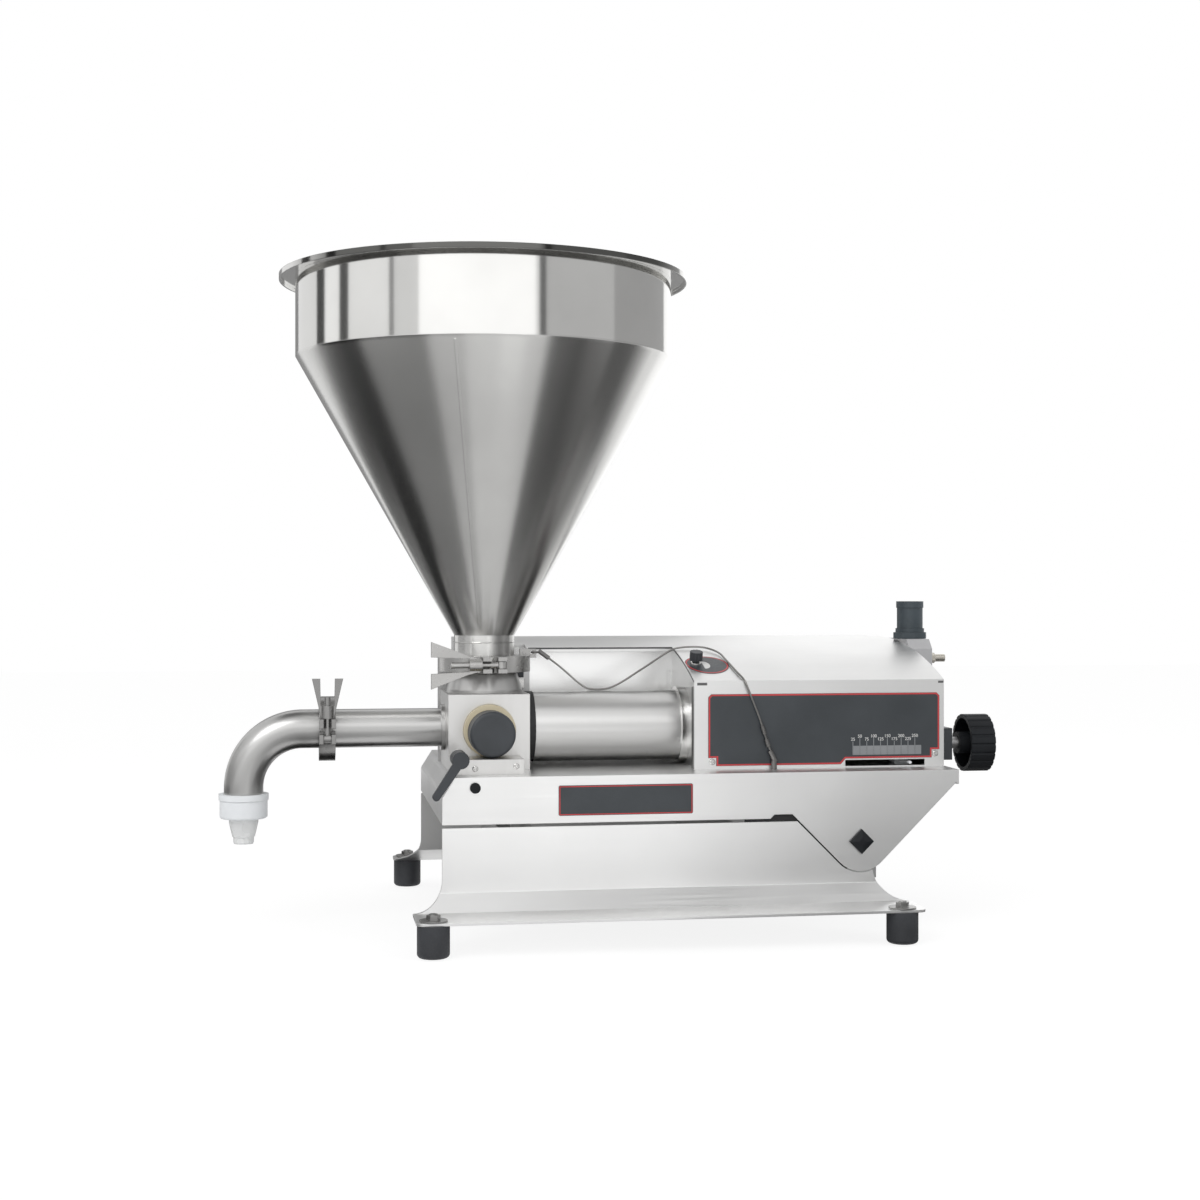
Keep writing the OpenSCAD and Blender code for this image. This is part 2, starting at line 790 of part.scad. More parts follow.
// Wing nut: a hub on the bolt and two long paddles that reach past the bolt's end
module wing_nut(clamp_d, wing_end, wing_out, wing_in) {
  bolt_y = -clamp_d / 2 - bolt_off;
  hub_d = 12;
  hub_len = 12.5;
  hub_start = lug_out + run_gap;
  paddle_t = 3.5;
  paddle_in = hub_d / 2 + 0.5;
  paddle_out = hub_d / 2 + 3;
  difference() {
    union() {
      bar_x(hub_d, -hub_start - hub_len, -hub_start, bolt_y, 0);
      along_y(bolt_y - paddle_t / 2, bolt_y + paddle_t / 2)
        for (s = [-1, 1])
          polygon([
            [-hub_start, 0], [-hub_start, s * hub_d / 2], [-hub_start - hub_len, s * paddle_out],
            [-wing_end, s * wing_out], [-wing_end, s * wing_in],
            [-hub_start - hub_len, s * paddle_in], [-hub_start - hub_len, 0]
          ]);
    }
    bar_x(bolt_d + 2 * fit, -wing_end - 1, 0, bolt_y, 0);
  }
}

module at_inlet_clamp() {
  translate([valve_x, axis_y, inlet_clamp_z]) rotate(inlet_clamp_turn) children();
}

module at_spout_clamp() {
  translate([spout_clamp_x, axis_y, axis_z]) rotate([0, 90, 0]) children();
}

module hopper_clamp_left() {
  color("whitesmoke") at_inlet_clamp() clamp_half(-1, inlet_ferrule_d, neck_d, inlet_clamp_d);
}

// Right half, with the upright tab for the retaining wire
tab_hole_x = 48.5;
tab_hole_z = 10.5;
module hopper_clamp_right() {
  tab_t = 3;
  tab_end = tab_hole_x + 4.5;
  tab_in = inlet_clamp_d / 2 - 10;
  color("whitesmoke") at_inlet_clamp() {
    clamp_half(1, inlet_ferrule_d, neck_d, inlet_clamp_d);
    along_y(-tab_t / 2, tab_t / 2) difference() {
      translate([tab_in, clamp_h / 2 - 3]) square([tab_end - tab_in, 9]);
      translate([tab_hole_x, tab_hole_z]) circle(d = 4);
    }
  }
}

module hopper_clamp_pins() {
  color("silver") at_inlet_clamp() clamp_pins(inlet_clamp_d);
}

module hopper_clamp_bolt() {
  color("silver") at_inlet_clamp() clamp_bolt(inlet_clamp_d, 43);
}

module hopper_wing_nut() {
  color("whitesmoke") at_inlet_clamp() wing_nut(inlet_clamp_d, 62, 23, 8);
}

module spout_clamp_upper() {
  color("darkgray") at_spout_clamp() clamp_half(-1, spout_ferrule_d, tube_d, spout_clamp_d);
}

module spout_clamp_lower() {
  color("darkgray") at_spout_clamp() clamp_half(1, spout_ferrule_d, tube_d, spout_clamp_d);
}

module spout_clamp_pins() {
  color("silver") at_spout_clamp() clamp_pins(spout_clamp_d);
}

module spout_clamp_bolt() {
  color("silver") at_spout_clamp() clamp_bolt(spout_clamp_d, 33);
}

module spout_wing_nut() {
  color("silver") at_spout_clamp() wing_nut(spout_clamp_d, 51, 15, 7);
}

// Outlet tube, spout and nozzle

// Half section of a tube end with its ferrule, drawn from the gasket
module ferruled_tube(len) {
  r = tube_d / 2;
  face = gasket_t / 2;
  polygon([
    [r - tube_t, face], [spout_ferrule_d / 2, face], [spout_ferrule_d / 2, face + ferrule_t],
    [r, face + ferrule_t + taper_h(spout_ferrule_d, tube_d)], [r, len], [r - tube_t, len]
  ]);
}

// Straight tube welded to a thin flange on the block
module outlet_tube() {
  flange_d = 46;
  flange_t = 4;
  len = block_left - spout_clamp_x;
  color("darkgray") translate([spout_clamp_x, axis_y, axis_z]) rotate([0, 90, 0]) {
    rotate_extrude() ferruled_tube(len);
    translate([0, 0, len - flange_t]) linear_extrude(flange_t) difference() {
      circle(d = flange_d);
      circle(d = tube_d - 2 * tube_t);
    }
  }
}

module spout_gasket() {
  color("#d8d4c8") translate([spout_clamp_x, axis_y, axis_z]) rotate([0, 90, 0])
    linear_extrude(gasket_t, center = true) difference() {
      circle(d = spout_ferrule_d);
      circle(d = tube_d - 2 * tube_t);
    }
}

// Ferrule, long-radius bend and downward leg in one tube
module spout_elbow() {
  bend_x = spout_x + bend_r;
  bend_z = axis_z - bend_r;
  color("darkgray") {
    translate([spout_clamp_x, axis_y, axis_z]) rotate([0, -90, 0])
      rotate_extrude() ferruled_tube(spout_clamp_x - bend_x);
    translate([bend_x, axis_y, bend_z]) rotate([90, 0, 0]) rotate([0, 0, 90])
      rotate_extrude(angle = 90) translate([bend_r, 0]) difference() {
        circle(d = tube_d);
        circle(d = tube_d - 2 * tube_t);
      }
    translate([spout_x, axis_y, spout_end_z]) linear_extrude(bend_z - spout_end_z) difference() {
      circle(d = tube_d);
      circle(d = tube_d - 2 * tube_t);
    }
  }
}

nozzle_flange_t = 4;
lip_t = 5;

// Smooth union nut: a collar on top, a rounded lower edge and a lip under the nozzle's flange
module nozzle_nut() {
  collar_h = 6;
  collar_out = 1;
  edge_r = lip_t / 2;
  body_r = nut_d / 2 - collar_out;
  hold_r = nozzle_d / 2 + run_gap;
  pass_r = tube_d / 2 + run_gap;
  color("white") translate([spout_x, axis_y, nut_z]) rotate_extrude() {
    translate([hold_r, 0]) square([body_r - edge_r - hold_r, lip_t]);
    translate([hold_r, edge_r]) square([body_r - hold_r, lip_t - edge_r]);
    translate([body_r - edge_r, edge_r]) circle(edge_r);
    translate([pass_r, edge_r]) square([body_r - pass_r, nut_h - edge_r]);
    translate([pass_r, nut_h - collar_h]) square([nut_d / 2 - pass_r, collar_h]);
  }
}

// Nozzle: flange clamped by the nut, straight neck, taper and a stepped tip
module nozzle() {
  flange_low = nut_z + lip_t + run_gap;
  flange_top = spout_end_z;
  wall = 3;
  step = 1;
  tip_h = 7;
  edge = 1.5;
  taper_top = nut_z - 4;
  tip_r = nozzle_tip_d / 2;
  color("ivory") translate([spout_x, axis_y, 0]) rotate_extrude()
    polygon([
      [tip_r - wall, nozzle_z], [tip_r - step - edge / 2, nozzle_z], [tip_r - step, nozzle_z + edge],
      [tip_r - step, nozzle_z + tip_h], [tip_r, nozzle_z + tip_h], [nozzle_d / 2, taper_top],
      [nozzle_d / 2, flange_low], [tube_d / 2, flange_low],
      [tube_d / 2, flange_top], [nozzle_d / 2 - wall, flange_top], [nozzle_d / 2 - wall, taper_top]
    ]);
}

// Dosing cylinder and drive cylinder

module ring_x(d, bore, x0, x1) {
  translate([x0, axis_y, axis_z]) rotate([0, 90, 0]) linear_extrude(x1 - x0) difference() {
    circle(d = d);
    circle(d = bore);
  }
}

module dosing_cylinder() {
  color("lightgray") ring_x(cyl_d, cyl_bore, seal_right, end_plate_x);
}

module cylinder_seal() {
  color("#202225") ring_x(cyl_d, port_d + 4, block_right, seal_right);
}

// Polished ring round the cylinder's end, against the end plate
module cylinder_ring() {
  color("whitesmoke") ring_x(ring_d, cyl_d, end_plate_x - ring_t, end_plate_x);
}

piston_groove_w = 4;
piston_groove_h = 3.2;
piston_groove_x = piston_left + 8;

module piston() {
  color("white") difference() {
    bar_x(cyl_bore - 2 * run_gap, piston_left, piston_right, axis_y, axis_z);
    translate([piston_groove_x, axis_y, axis_z]) rotate([0, 90, 0]) rotate_extrude()
      translate([cyl_bore / 2 - run_gap - piston_groove_h, -piston_groove_w / 2])
        square([piston_groove_h + 1, piston_groove_w]);
  }
}

module piston_seal() {
  ring_r = 1.6;
  color("#3a3a3a") translate([piston_groove_x, axis_y, axis_z]) rotate([0, 90, 0]) rotate_extrude()
    translate([cyl_bore / 2 - fit - ring_r, 0]) circle(ring_r);
}

module piston_rod() {
  color("silver") bar_x(rod_d, piston_right, air_piston_left, axis_y, axis_z);
}

module air_piston() {
  color("dimgray") bar_x(air_bore - 2 * run_gap, air_piston_left, air_piston_left + air_piston_t,
                         axis_y, axis_z);
}

barrel_wall = 2.5;
module air_barrel() {
  color("silver") ring_x(air_bore + 2 * barrel_wall, air_bore, barrel_left, barrel_right);
}

// Square heads of the drive cylinder, seated on the deck; the rear one carries the spindle's end
module air_heads() {
  top = axis_z + head_w / 2;
  journal_lug = 22;
  color("gray") {
    difference() {
      span([inner_left, axis_y - head_w / 2, deck_top_z], [barrel_left, axis_y + head_w / 2, top]);
      bar_x(rod_d + 2 * fit, inner_left - 1, barrel_left + 1, axis_y, axis_z);
    }
    difference() {
      union() {
        span([barrel_right, axis_y - head_w / 2, deck_top_z],
             [barrel_right + head_t, axis_y + head_w / 2, top]);
        span([barrel_right, spindle_y - journal_lug / 2, deck_top_z],
             [barrel_right + journal_t, axis_y, spindle_z + journal_lug / 2]);
      }
      bar_x(journal_d + 2 * fit, barrel_right - 1, barrel_right + journal_t + 1, spindle_y, spindle_z);
    }
  }
}

journal_d = 8;
journal_t = 10;

// Hood

// Rolled roof sheet between two places across the machine
module roof_band(y0, y1) {
  intersection() {
    translate([crest_y, roof_mid_z]) difference() {
      circle(roof_r, $fn = 180);
      circle(roof_r - hood_t, $fn = 180);
    }
    translate([y0, 0]) square([y1 - y0, 2 * hood_top_z]);
  }
}

// Section of the sheet: roof, flat crest and back wall
module hood_section(y0) {
  roof_band(y0, crest_y);
  translate([crest_y, hood_top_z - hood_t]) square([hood_back - crest_y, hood_t]);
  translate([hood_back - hood_t, deck_top_z]) square([hood_t, hood_top_z - deck_top_z]);
}

// Space under the sheet, for the end plates; a welded wall reaches into the sheet
module hood_inside(y0, into = 0) {
  intersection() {
    translate([crest_y, roof_mid_z]) circle(roof_r - hood_t + into, $fn = 180);
    translate([y0, deck_top_z]) square([crest_y - y0, 2 * hood_top_z]);
  }
  translate([crest_y, deck_top_z])
    square([hood_back - hood_t + into - crest_y, hood_top_z - hood_t + into - deck_top_z]);
}

neck_cut_x = -112;
neck_cut_y = 12;
lip_h = 5;
weld_in = 1;

// One-piece cover: drive part on the right, valve drive part behind the cylinder
module hood() {
  below = deck_top_z - 1;
  above = hood_top_z + 1;
  color("gainsboro") difference() {
    union() {
      along_x(rear_left, hood_right) hood_section(hood_front);
      along_x(hood_left, hood_right) translate([hood_front, deck_top_z])
        square([hood_t, roof_z(hood_front) - hood_t / 4 - deck_top_z]);
      along_x(hood_right - hood_t, hood_right) hood_inside(hood_front + hood_t / 2, weld_in);
      along_x(rear_left, rear_left + hood_t) hood_inside(rear_wall_y, weld_in);
      along_x(neck_cut_x, hood_left + 1) translate([lip_y, roof_z(lip_y) - lip_h])
        square([hood_t, lip_h - hood_t / 4]);
    }
    span([rear_left - 1, hood_front - 1, below], [hood_left, lip_y, above]);
    span([rear_left - 1, hood_front - 1, below], [neck_cut_x, neck_cut_y, above]);
    span([slot_left, hood_front - 1, slot_low], [slot_right, hood_front + hood_t + 1, slot_high]);
    bar_x(spindle_d + 2, hood_right - hood_t - 1, hood_right + 1, spindle_y, spindle_z);
    translate([knob_x, knob_y, roof_z(knob_y)]) rotate([knob_a, 0, 0])
      cylinder(d = knob_stem_d + 2 * run_gap, h = knob_hole_h, center = true);
  }
}

knob_hole_h = 20;
knob_stem_d = 6;

// Plate across the left end of the drive part; the cylinder and rod pass it
module hood_end_plate() {
  color("silver") difference() {
    along_x(end_plate_x, end_plate_x + hood_t) difference() {
      hood_inside(hood_front + hood_t);
      translate([rear_wall_y, 0]) square([hood_back, 2 * hood_top_z]);
    }
    bar_x(rod_d + 8, end_plate_x - 1, end_plate_x + hood_t + 1, axis_y, axis_z);
  }
}

// Wall behind the cylinder that closes the valve drive part, with a slot next to the end plate
module rear_wall() {
  slot_z = 229;
  slot_h = 19;
  slot_w = 4.5;
  top = roof_z(rear_wall_y) - hood_t - 1;
  color("whitesmoke") difference() {
    along_y(rear_wall_y, rear_wall_y + hood_t) translate([rear_left + hood_t, deck_top_z])
      square([end_plate_x + hood_t - rear_left - hood_t, top - deck_top_z]);
    bar_y(stub_d + 4, rear_wall_y - 1, rear_wall_y + hood_t + 1, valve_x, axis_z);
    span([end_plate_x - slot_w - 1, rear_wall_y - 1, slot_z],
         [end_plate_x - 1, rear_wall_y + hood_t / 2, slot_z + slot_h]);
  }
}

// Plate that the block and the valve drive are bolted to, with two upright arms beside the clamp
module actuator_plate() {
  left_w = 14;
  right_w = 20;
  left_out = 2.5;
  right_out = 12;
  plate_left = block_left - left_out;
  plate_right = block_right + right_out;
  plate_top = 264;
  color("gray") difference() {
    along_y(block_back, rear_wall_y)
      polygon([
        [plate_left, deck_top_z], [plate_right, deck_top_z], [plate_right, plate_top],
        [plate_right - right_w, plate_top], [plate_right - right_w, block_top_z],
        [plate_left + left_w, block_top_z], [plate_left + left_w, plate_top], [plate_left, plate_top]
      ]);
    bar_y(stub_d + 4, block_back - 1, rear_wall_y + 1, valve_x, axis_z);
  }
}

// Rack drive that turns the plug's stub a quarter turn
module valve_actuator() {
  front = rear_wall_y + hood_t;
  body_d = 46;
  body_len = 100;
  body_h = 68;
  arm_d = 40;
  arm_len = 60;
  color("dimgray") difference() {
    union() {
      span([rear_left + hood_t + 1, front, deck_top_z],
           [rear_left + hood_t + 1 + body_len, front + body_d, deck_top_z + body_h]);
      bar_x(arm_d, rear_left + hood_t + body_len, rear_left + hood_t + body_len + arm_len,
            front + body_d / 2, axis_z);
    }
    bar_y(stub_d + 2 * fit, front - 1, front + body_d - 8, valve_x, axis_z);
  }
}

// Bare plate with notched lower corners and a step over the scale slot
module panel_label() {
  thick = 1;
  left = hood_left + 14;
  right = hood_right - 5;
  low = deck_top_z + 3.5;
  step_low = slot_high + 1.5;
  top = 230.8;
  notch = 8;
  step = 5;
  corner = 3;
  color("#3a4045") along_y(hood_front - thick, hood_front) difference() {
    polygon([
      [left + notch, low], [slot_left - step, low], [slot_left, step_low], [right - notch, step_low],
      [right - notch, step_low + notch], [right, step_low + notch], [right, top - corner],
      [right - corner, top], [left + corner, top], [left, top - corner], [left, low + notch],
      [left + notch, low + notch]
    ]);
  }
}

// Dose setting

// Spindle with a journal at its inner end
module spindle() {
  color("silver") {
    bar_x(journal_d, barrel_right, barrel_right + journal_t + run_gap, spindle_y, spindle_z);
    bar_x(spindle_d, barrel_right + journal_t + run_gap, wheel_x, spindle_y, spindle_z);
  }
}

// Handwheel with a ribbed rim, open towards the machine, and its hub
module handwheel() {
  rim_t = 4;
  web_t = 6;
  hub_d = 22;
  hub_out = 6;
  ribs = 20;
  color("#2b3036") translate([wheel_x, spindle_y, spindle_z]) rotate([0, 90, 0]) {
    linear_extrude(wheel_w - web_t) difference() {
      circle(d = wheel_d);
      circle(d = wheel_d - 2 * rim_t);
      for (i = [0:ribs - 1])
        rotate(i * 360 / ribs) translate([wheel_d / 2 + 0.8, 0]) circle(1.8);
    }
    translate([0, 0, wheel_w - web_t]) linear_extrude(web_t) difference() {
      circle(d = wheel_d);
      for (i = [0:ribs - 1])
        rotate(i * 360 / ribs) translate([wheel_d / 2 + 0.8, 0]) circle(1.8);
    }
    translate([0, 0, -hub_out]) linear_extrude(wheel_w - web_t + hub_out) difference() {
      circle(d = hub_d);
      circle(d = spindle_d);
    }
    linear_extrude(wheel_w - web_t) circle(d = spindle_d);
  }
}

// Square bearing block on the hood's right end
module spindle_bearing() {
  color("#3c4147") along_x(hood_right, hood_right + bearing_t) difference() {
    translate([spindle_y, spindle_z]) square(bearing_w, center = true);
    translate([spindle_y, spindle_z]) circle(d = spindle_d + 2 * fit);
  }
}

// Nut that travels on the spindle and carries the pointer pin through the scale slot
module stop_nut() {
  nut_len = 14;
  nut_w = 17;
  pin = 3;
  pin_out = 3;
  color("whitesmoke") difference() {
    union() {
      span([pointer_x - nut_len / 2, spindle_y - nut_w / 2, deck_top_z + run_gap],
           [pointer_x + nut_len / 2, spindle_y + nut_w / 2, spindle_z + nut_w / 2]);
      bar_y(pin, hood_front - pin_out, spindle_y, pointer_x, pointer_z);
    }
    bar_x(spindle_d + 2 * fit, pointer_x - nut_len, pointer_x + nut_len, spindle_y, spindle_z);
  }
}

// Air connections and speed knob

// Connection block on the hood's right end
module air_manifold() {
  low = manifold_top - manifold_h;
  chamfer = 10;
  color("silver") along_x(hood_right, hood_right + manifold_w)
    polygon([
      [manifold_y - manifold_d / 2, low], [manifold_y + manifold_d / 2, low],
      [manifold_y + manifold_d / 2, manifold_top], [manifold_y - manifold_d / 2 + chamfer, manifold_top],
      [manifold_y - manifold_d / 2, manifold_top - chamfer]
    ]);
}

// Plastic socket for the foot pedal's plug
module pedal_socket() {
  base_d = 37;
  base_h = 11;
  body_d = 27.5;
  body_h = 22;
  lip_d = 29;
  lip = 7;
  bore_d = 19;
  off_x = 1.5;
  color("#3b4a55") translate([hood_right + manifold_w / 2 + off_x, manifold_y, manifold_top]) difference() {
    union() {
      cylinder(d = base_d, h = base_h * 0.6, $fn = 8);
      translate([0, 0, base_h * 0.6]) cylinder(d = body_d + 3, h = base_h * 0.4);
      translate([0, 0, base_h]) cylinder(d = body_d, h = body_h);
      translate([0, 0, base_h + body_h]) cylinder(d = lip_d, h = lip);
    }
    translate([0, 0, base_h]) cylinder(d = bore_d, h = body_h + lip + 1);
  }
}

// Threaded air inlet on the end of the manifold
module air_nipple() {
  hex_w = 11;
  hex_l = 5;
  pipe_d = 8;
  pipe_l = 11;
  bore_d = 5;
  z = 261;
  y = manifold_y - manifold_d / 2 + 8;
  color("silver") translate([hood_right + manifold_w, y, z]) rotate([0, 90, 0]) difference() {
    union() {
      cylinder(d = hex_w, h = hex_l, $fn = 6);
      cylinder(d = pipe_d, h = hex_l + pipe_l);
    }
    translate([0, 0, 1]) cylinder(d = bore_d, h = hex_l + pipe_l);
  }
}

// Knob on the roof, with its stem through the sheet
module speed_knob() {
  head_d = 13;
  head_h = 9;
  head_low = 4;
  stem_low = -6;
  color("#26343d") translate([knob_x, knob_y, roof_z(knob_y)]) rotate([knob_a, 0, 0]) {
    translate([0, 0, stem_low]) cylinder(d = knob_stem_d, h = head_low + 0.5 - stem_low);
    translate([0, 0, head_low]) linear_extrude(head_h) difference() {
      circle(d = head_d);
      for (i = [0:11])
        rotate(i * 30) translate([head_d / 2 + 0.5, 0]) circle(1.2);
    }
  }
}

// Retaining wire

// Places along the wire, chosen by hand, in the machine's own frame
wire_low_z = axis_z + cyl_d / 2 + wire_d / 2 + run_gap;
wire_route = [
  [-92, -33, 264], [-84, -33.5, 258], [-74, -34.5, 249.5], [-64, -36, 240.5], [-55, -37, wire_low_z + 1.6],
  [-47, -37, wire_low_z], [-38, -37, wire_low_z], [-29, -36.5, wire_low_z + 1.6],
  [-17, -36, 240], [-3, -34, 248.5],
  [12, -31, 257.5], [26, -27, 266], [37, -24.5, 272], [48, -22, 274], [59, -21.5, 274.5],
  [69, -24, 274], [77, -33, 271.8], [82, -47, 268.2], [83.5, -64, 263.2], [85, -83, 257.6],
  [87, -101, 251.6], [89, -113, 247.2], [90.8, -119.4, 242.5], [94, -120.8, 234], [98, -121, 224],
  [102, -121, 214], [105, -121, 206], [107, -121, 200]
];
wire_sides = 8;
wire_steps = 3;
wire_ref = [0.5, 0.8, -0.4];

// Smooth curve through the places
function curve_at(p, i, t) =
  let (n = len(p) - 1, a = p[max(i - 1, 0)], b = p[i], c = p[i + 1], d = p[min(i + 2, n)])
  0.5 * (2 * b + (c - a) * t + (2 * a - 5 * b + 4 * c - d) * t * t
         + (3 * b - a - 3 * c + d) * t * t * t);
function unit(v) = v / norm(v);
wire_points = [
  for (i = [0:len(wire_route) - 2], s = [0:wire_steps - 1]) curve_at(wire_route, i, s / wire_steps),
  wire_route[len(wire_route) - 1]
];

// Ring of corners round one place of the wire
function wire_ring(p, i) =
  let (n = len(p) - 1, t = unit(p[min(i + 1, n)] - p[max(i - 1, 0)]),
       u = unit(cross(t, wire_ref)), v = cross(t, u))
  [for (k = [0:wire_sides - 1])
    p[i] + wire_d / 2 * (cos(k * 360 / wire_sides) * u + sin(k * 360 / wire_sides) * v)];

module lanyard() {
  n = len(wire_points);
  rings = [for (i = [0:n - 1]) each wire_ring(wire_points, i)];
  sides = [
    for (i = [0:n - 2], k = [0:wire_sides - 1])
      let (a = i * wire_sides + k, b = i * wire_sides + (k + 1) % wire_sides)
      each [[a, b, b + wire_sides], [a, b + wire_sides, a + wire_sides]]
  ];
  near = [for (k = [1:wire_sides - 2]) [0, k + 1, k]];
  last = (n - 1) * wire_sides;
  far = [for (k = [1:wire_sides - 2]) [last, last + k, last + k + 1]];
  color("silver") polyhedron(points = rings, faces = concat(sides, near, far));
}

// A round bar from a place, in a given direction
module bar_to(at, dir, d, len) {
  translate(at) rotate([0, acos(dir[2]), atan2(dir[1], dir[0])]) cylinder(d = d, h = len);
}

// Hook at the clamp's tab, and the crimps and clip that stand on the deck
module lanyard_fittings() {
  ring_r = 4;
  ring_w = 0.9;
  sleeve_d = 4.6;
  sleeve_len = 13;
  n = len(wire_points) - 1;
  first = wire_points[0];
  last = wire_points[n];
  back = unit(wire_points[0] - wire_points[1]);
  down = unit(wire_points[n] - wire_points[n - 1]);
  foot_x = last[0] + 12;
  color("silver") {
    at_inlet_clamp() translate([tab_hole_x + ring_r, 0, tab_hole_z])
      rotate_extrude() translate([ring_r, 0]) circle(ring_w);
    bar_to(first, back, sleeve_d, sleeve_len);
    bar_to(last, down, 4, 9);
    bar_to(last + 8 * down, down, 2.4, 14);
    bar_to(last + 14 * down, down, 4.4, 8);
    bar_to(last + 21 * down, unit([0.5, 0, -1]), 2.4, 10);
    bar_to(last + 26 * down, unit([0.5, 0, -1]), 5, 12);
    translate([foot_x, last[1], deck_top_z]) cylinder(d = 6, h = 9);
  }
}

place() base_rail_front();
place() base_rail_rear();
place() base_ties();
place() pivot_lugs();
place() pivot_shaft();
place() pivot_caps();
place() rubber_feet();
place() foot_fixings();
place() deck();
place() deck_plug();
place() nameplate();
place() valve_block();
place() block_saddle();
place() valve_plug();
place() plug_seals();
place() plug_cap();
place() clamp_lever();
place() inlet_ferrule();
place() hopper_gasket();
place() hopper();
place() hopper_clamp_left();
place() hopper_clamp_right();
place() hopper_clamp_pins();
place() hopper_clamp_bolt();
place() hopper_wing_nut();
place() outlet_tube();
place() spout_gasket();
place() spout_elbow();
place() nozzle_nut();
place() nozzle();
place() spout_clamp_upper();
place() spout_clamp_lower();
place() spout_clamp_pins();
place() spout_clamp_bolt();
place() spout_wing_nut();
place() dosing_cylinder();
place() cylinder_seal();
place() cylinder_ring();
place() piston();
place() piston_seal();
place() piston_rod();
place() air_barrel();
place() air_heads();
place() air_piston();
place() hood();
place() hood_end_plate();
place() rear_wall();
place() actuator_plate();
place() valve_actuator();
place() panel_label();
place() spindle();
place() handwheel();
place() spindle_bearing();
place() stop_nut();
place() air_manifold();
place() pedal_socket();
place() air_nipple();
place() speed_knob();
place() lanyard();
place() lanyard_fittings();
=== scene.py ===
import math
import bpy
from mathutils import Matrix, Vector


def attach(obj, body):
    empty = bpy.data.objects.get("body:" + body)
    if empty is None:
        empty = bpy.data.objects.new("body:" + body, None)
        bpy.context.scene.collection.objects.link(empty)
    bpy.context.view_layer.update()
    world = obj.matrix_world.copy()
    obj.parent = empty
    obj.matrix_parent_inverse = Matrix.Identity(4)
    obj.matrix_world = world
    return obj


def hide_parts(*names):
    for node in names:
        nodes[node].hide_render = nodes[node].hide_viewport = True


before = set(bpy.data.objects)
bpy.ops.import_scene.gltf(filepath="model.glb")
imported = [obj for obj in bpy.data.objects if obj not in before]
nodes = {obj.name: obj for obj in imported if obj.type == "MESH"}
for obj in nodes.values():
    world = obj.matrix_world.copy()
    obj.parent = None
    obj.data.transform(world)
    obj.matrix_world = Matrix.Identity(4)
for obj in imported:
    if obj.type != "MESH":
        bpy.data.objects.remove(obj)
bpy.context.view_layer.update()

# Camera: level, a little to the left of the machine and turned towards it.
# The small shift puts the horizon where the photograph has it.
photo_width = 1200
camera_data = bpy.data.cameras.new("camera")
camera_data.sensor_width = 36.0
camera_data.lens = 54.93
camera_data.shift_y = -7.7 / photo_width
camera = bpy.data.objects.new("camera", camera_data)
bpy.context.scene.collection.objects.link(camera)
camera.location = (-0.30475, -1.86045, 0.3307)
camera.rotation_euler = (math.radians(90), 0, math.radians(-9.25))
bpy.context.scene.camera = camera

# Retaining wire: thin stranded steel rope from the hopper clamp's tab, over the cylinder
# and the hood, to the clip at the foot of the panel. It follows a listed route and keeps its
# shape.
wire_width = 0.002
wire_route = [
    (-92, -33, 264), (-84, -33.5, 258), (-74, -34.5, 249.5), (-64, -36, 240.5),
    (-55, -37, 234.2), (-47, -37, 232.6), (-38, -37, 232.6), (-29, -36.5, 234.2),
    (-17, -36, 240), (-3, -34, 248.5), (12, -31, 257.5), (26, -27, 266),
    (37, -24.5, 272), (48, -22, 274), (59, -21.5, 274.5), (69, -24, 274),
    (77, -33, 271.8), (82, -47, 268.2), (83.5, -64, 263.2), (85, -83, 257.6),
    (87, -101, 251.6), (89, -113, 247.2), (90.8, -119.4, 242.5), (94, -120.8, 234),
    (98, -121, 224), (102, -121, 214), (105, -121, 206), (107, -121, 200),
]
origin_mm = Vector((-33.85, -8.25, 0))
grain_height = 0.0002
soft_edge = 0.0008


def at(x, y, z):
    """A place given in millimetres in the machine's own frame, in the model's frame."""
    return (Vector((x, y, z)) - origin_mm) / 1000


def shader(material):
    """The material's own surface shader."""
    material.use_nodes = True
    return material.node_tree.nodes["Principled BSDF"]


def object_noise(tree, scale, detail=3.0, stretch=(1, 1, 1)):
    """Noise on Object coordinates; stretch below 1 draws it out along that axis."""
    place = tree.nodes.new("ShaderNodeTexCoord")
    turn = tree.nodes.new("ShaderNodeMapping")
    turn.inputs["Scale"].default_value = stretch
    noise = tree.nodes.new("ShaderNodeTexNoise")
    noise.inputs["Scale"].default_value = scale
    noise.inputs["Detail"].default_value = detail
    tree.links.new(place.outputs["Object"], turn.inputs["Vector"])
    tree.links.new(turn.outputs["Vector"], noise.inputs["Vector"])
    return noise.outputs["Fac"]


def spread(tree, value, low, high, start=0.3, end=0.7):
    """Maps a value between start and end to the range from low to high."""
    span = tree.nodes.new("ShaderNodeMapRange")
    span.inputs["From Min"].default_value = start
    span.inputs["From Max"].default_value = end
    span.inputs["To Min"].default_value = low
    span.inputs["To Max"].default_value = high
    tree.links.new(value, span.inputs["Value"])
    return span.outputs["Result"]


def tones(tree, value, dark, light):
    """Mixes two tones of one colour by a noise value."""
    mix = tree.nodes.new("ShaderNodeMix")
    mix.data_type = "RGBA"
    mix.inputs["A"].default_value = (*dark, 1)
    mix.inputs["B"].default_value = (*light, 1)
    tree.links.new(value, mix.inputs["Factor"])
    return mix.outputs["Result"]


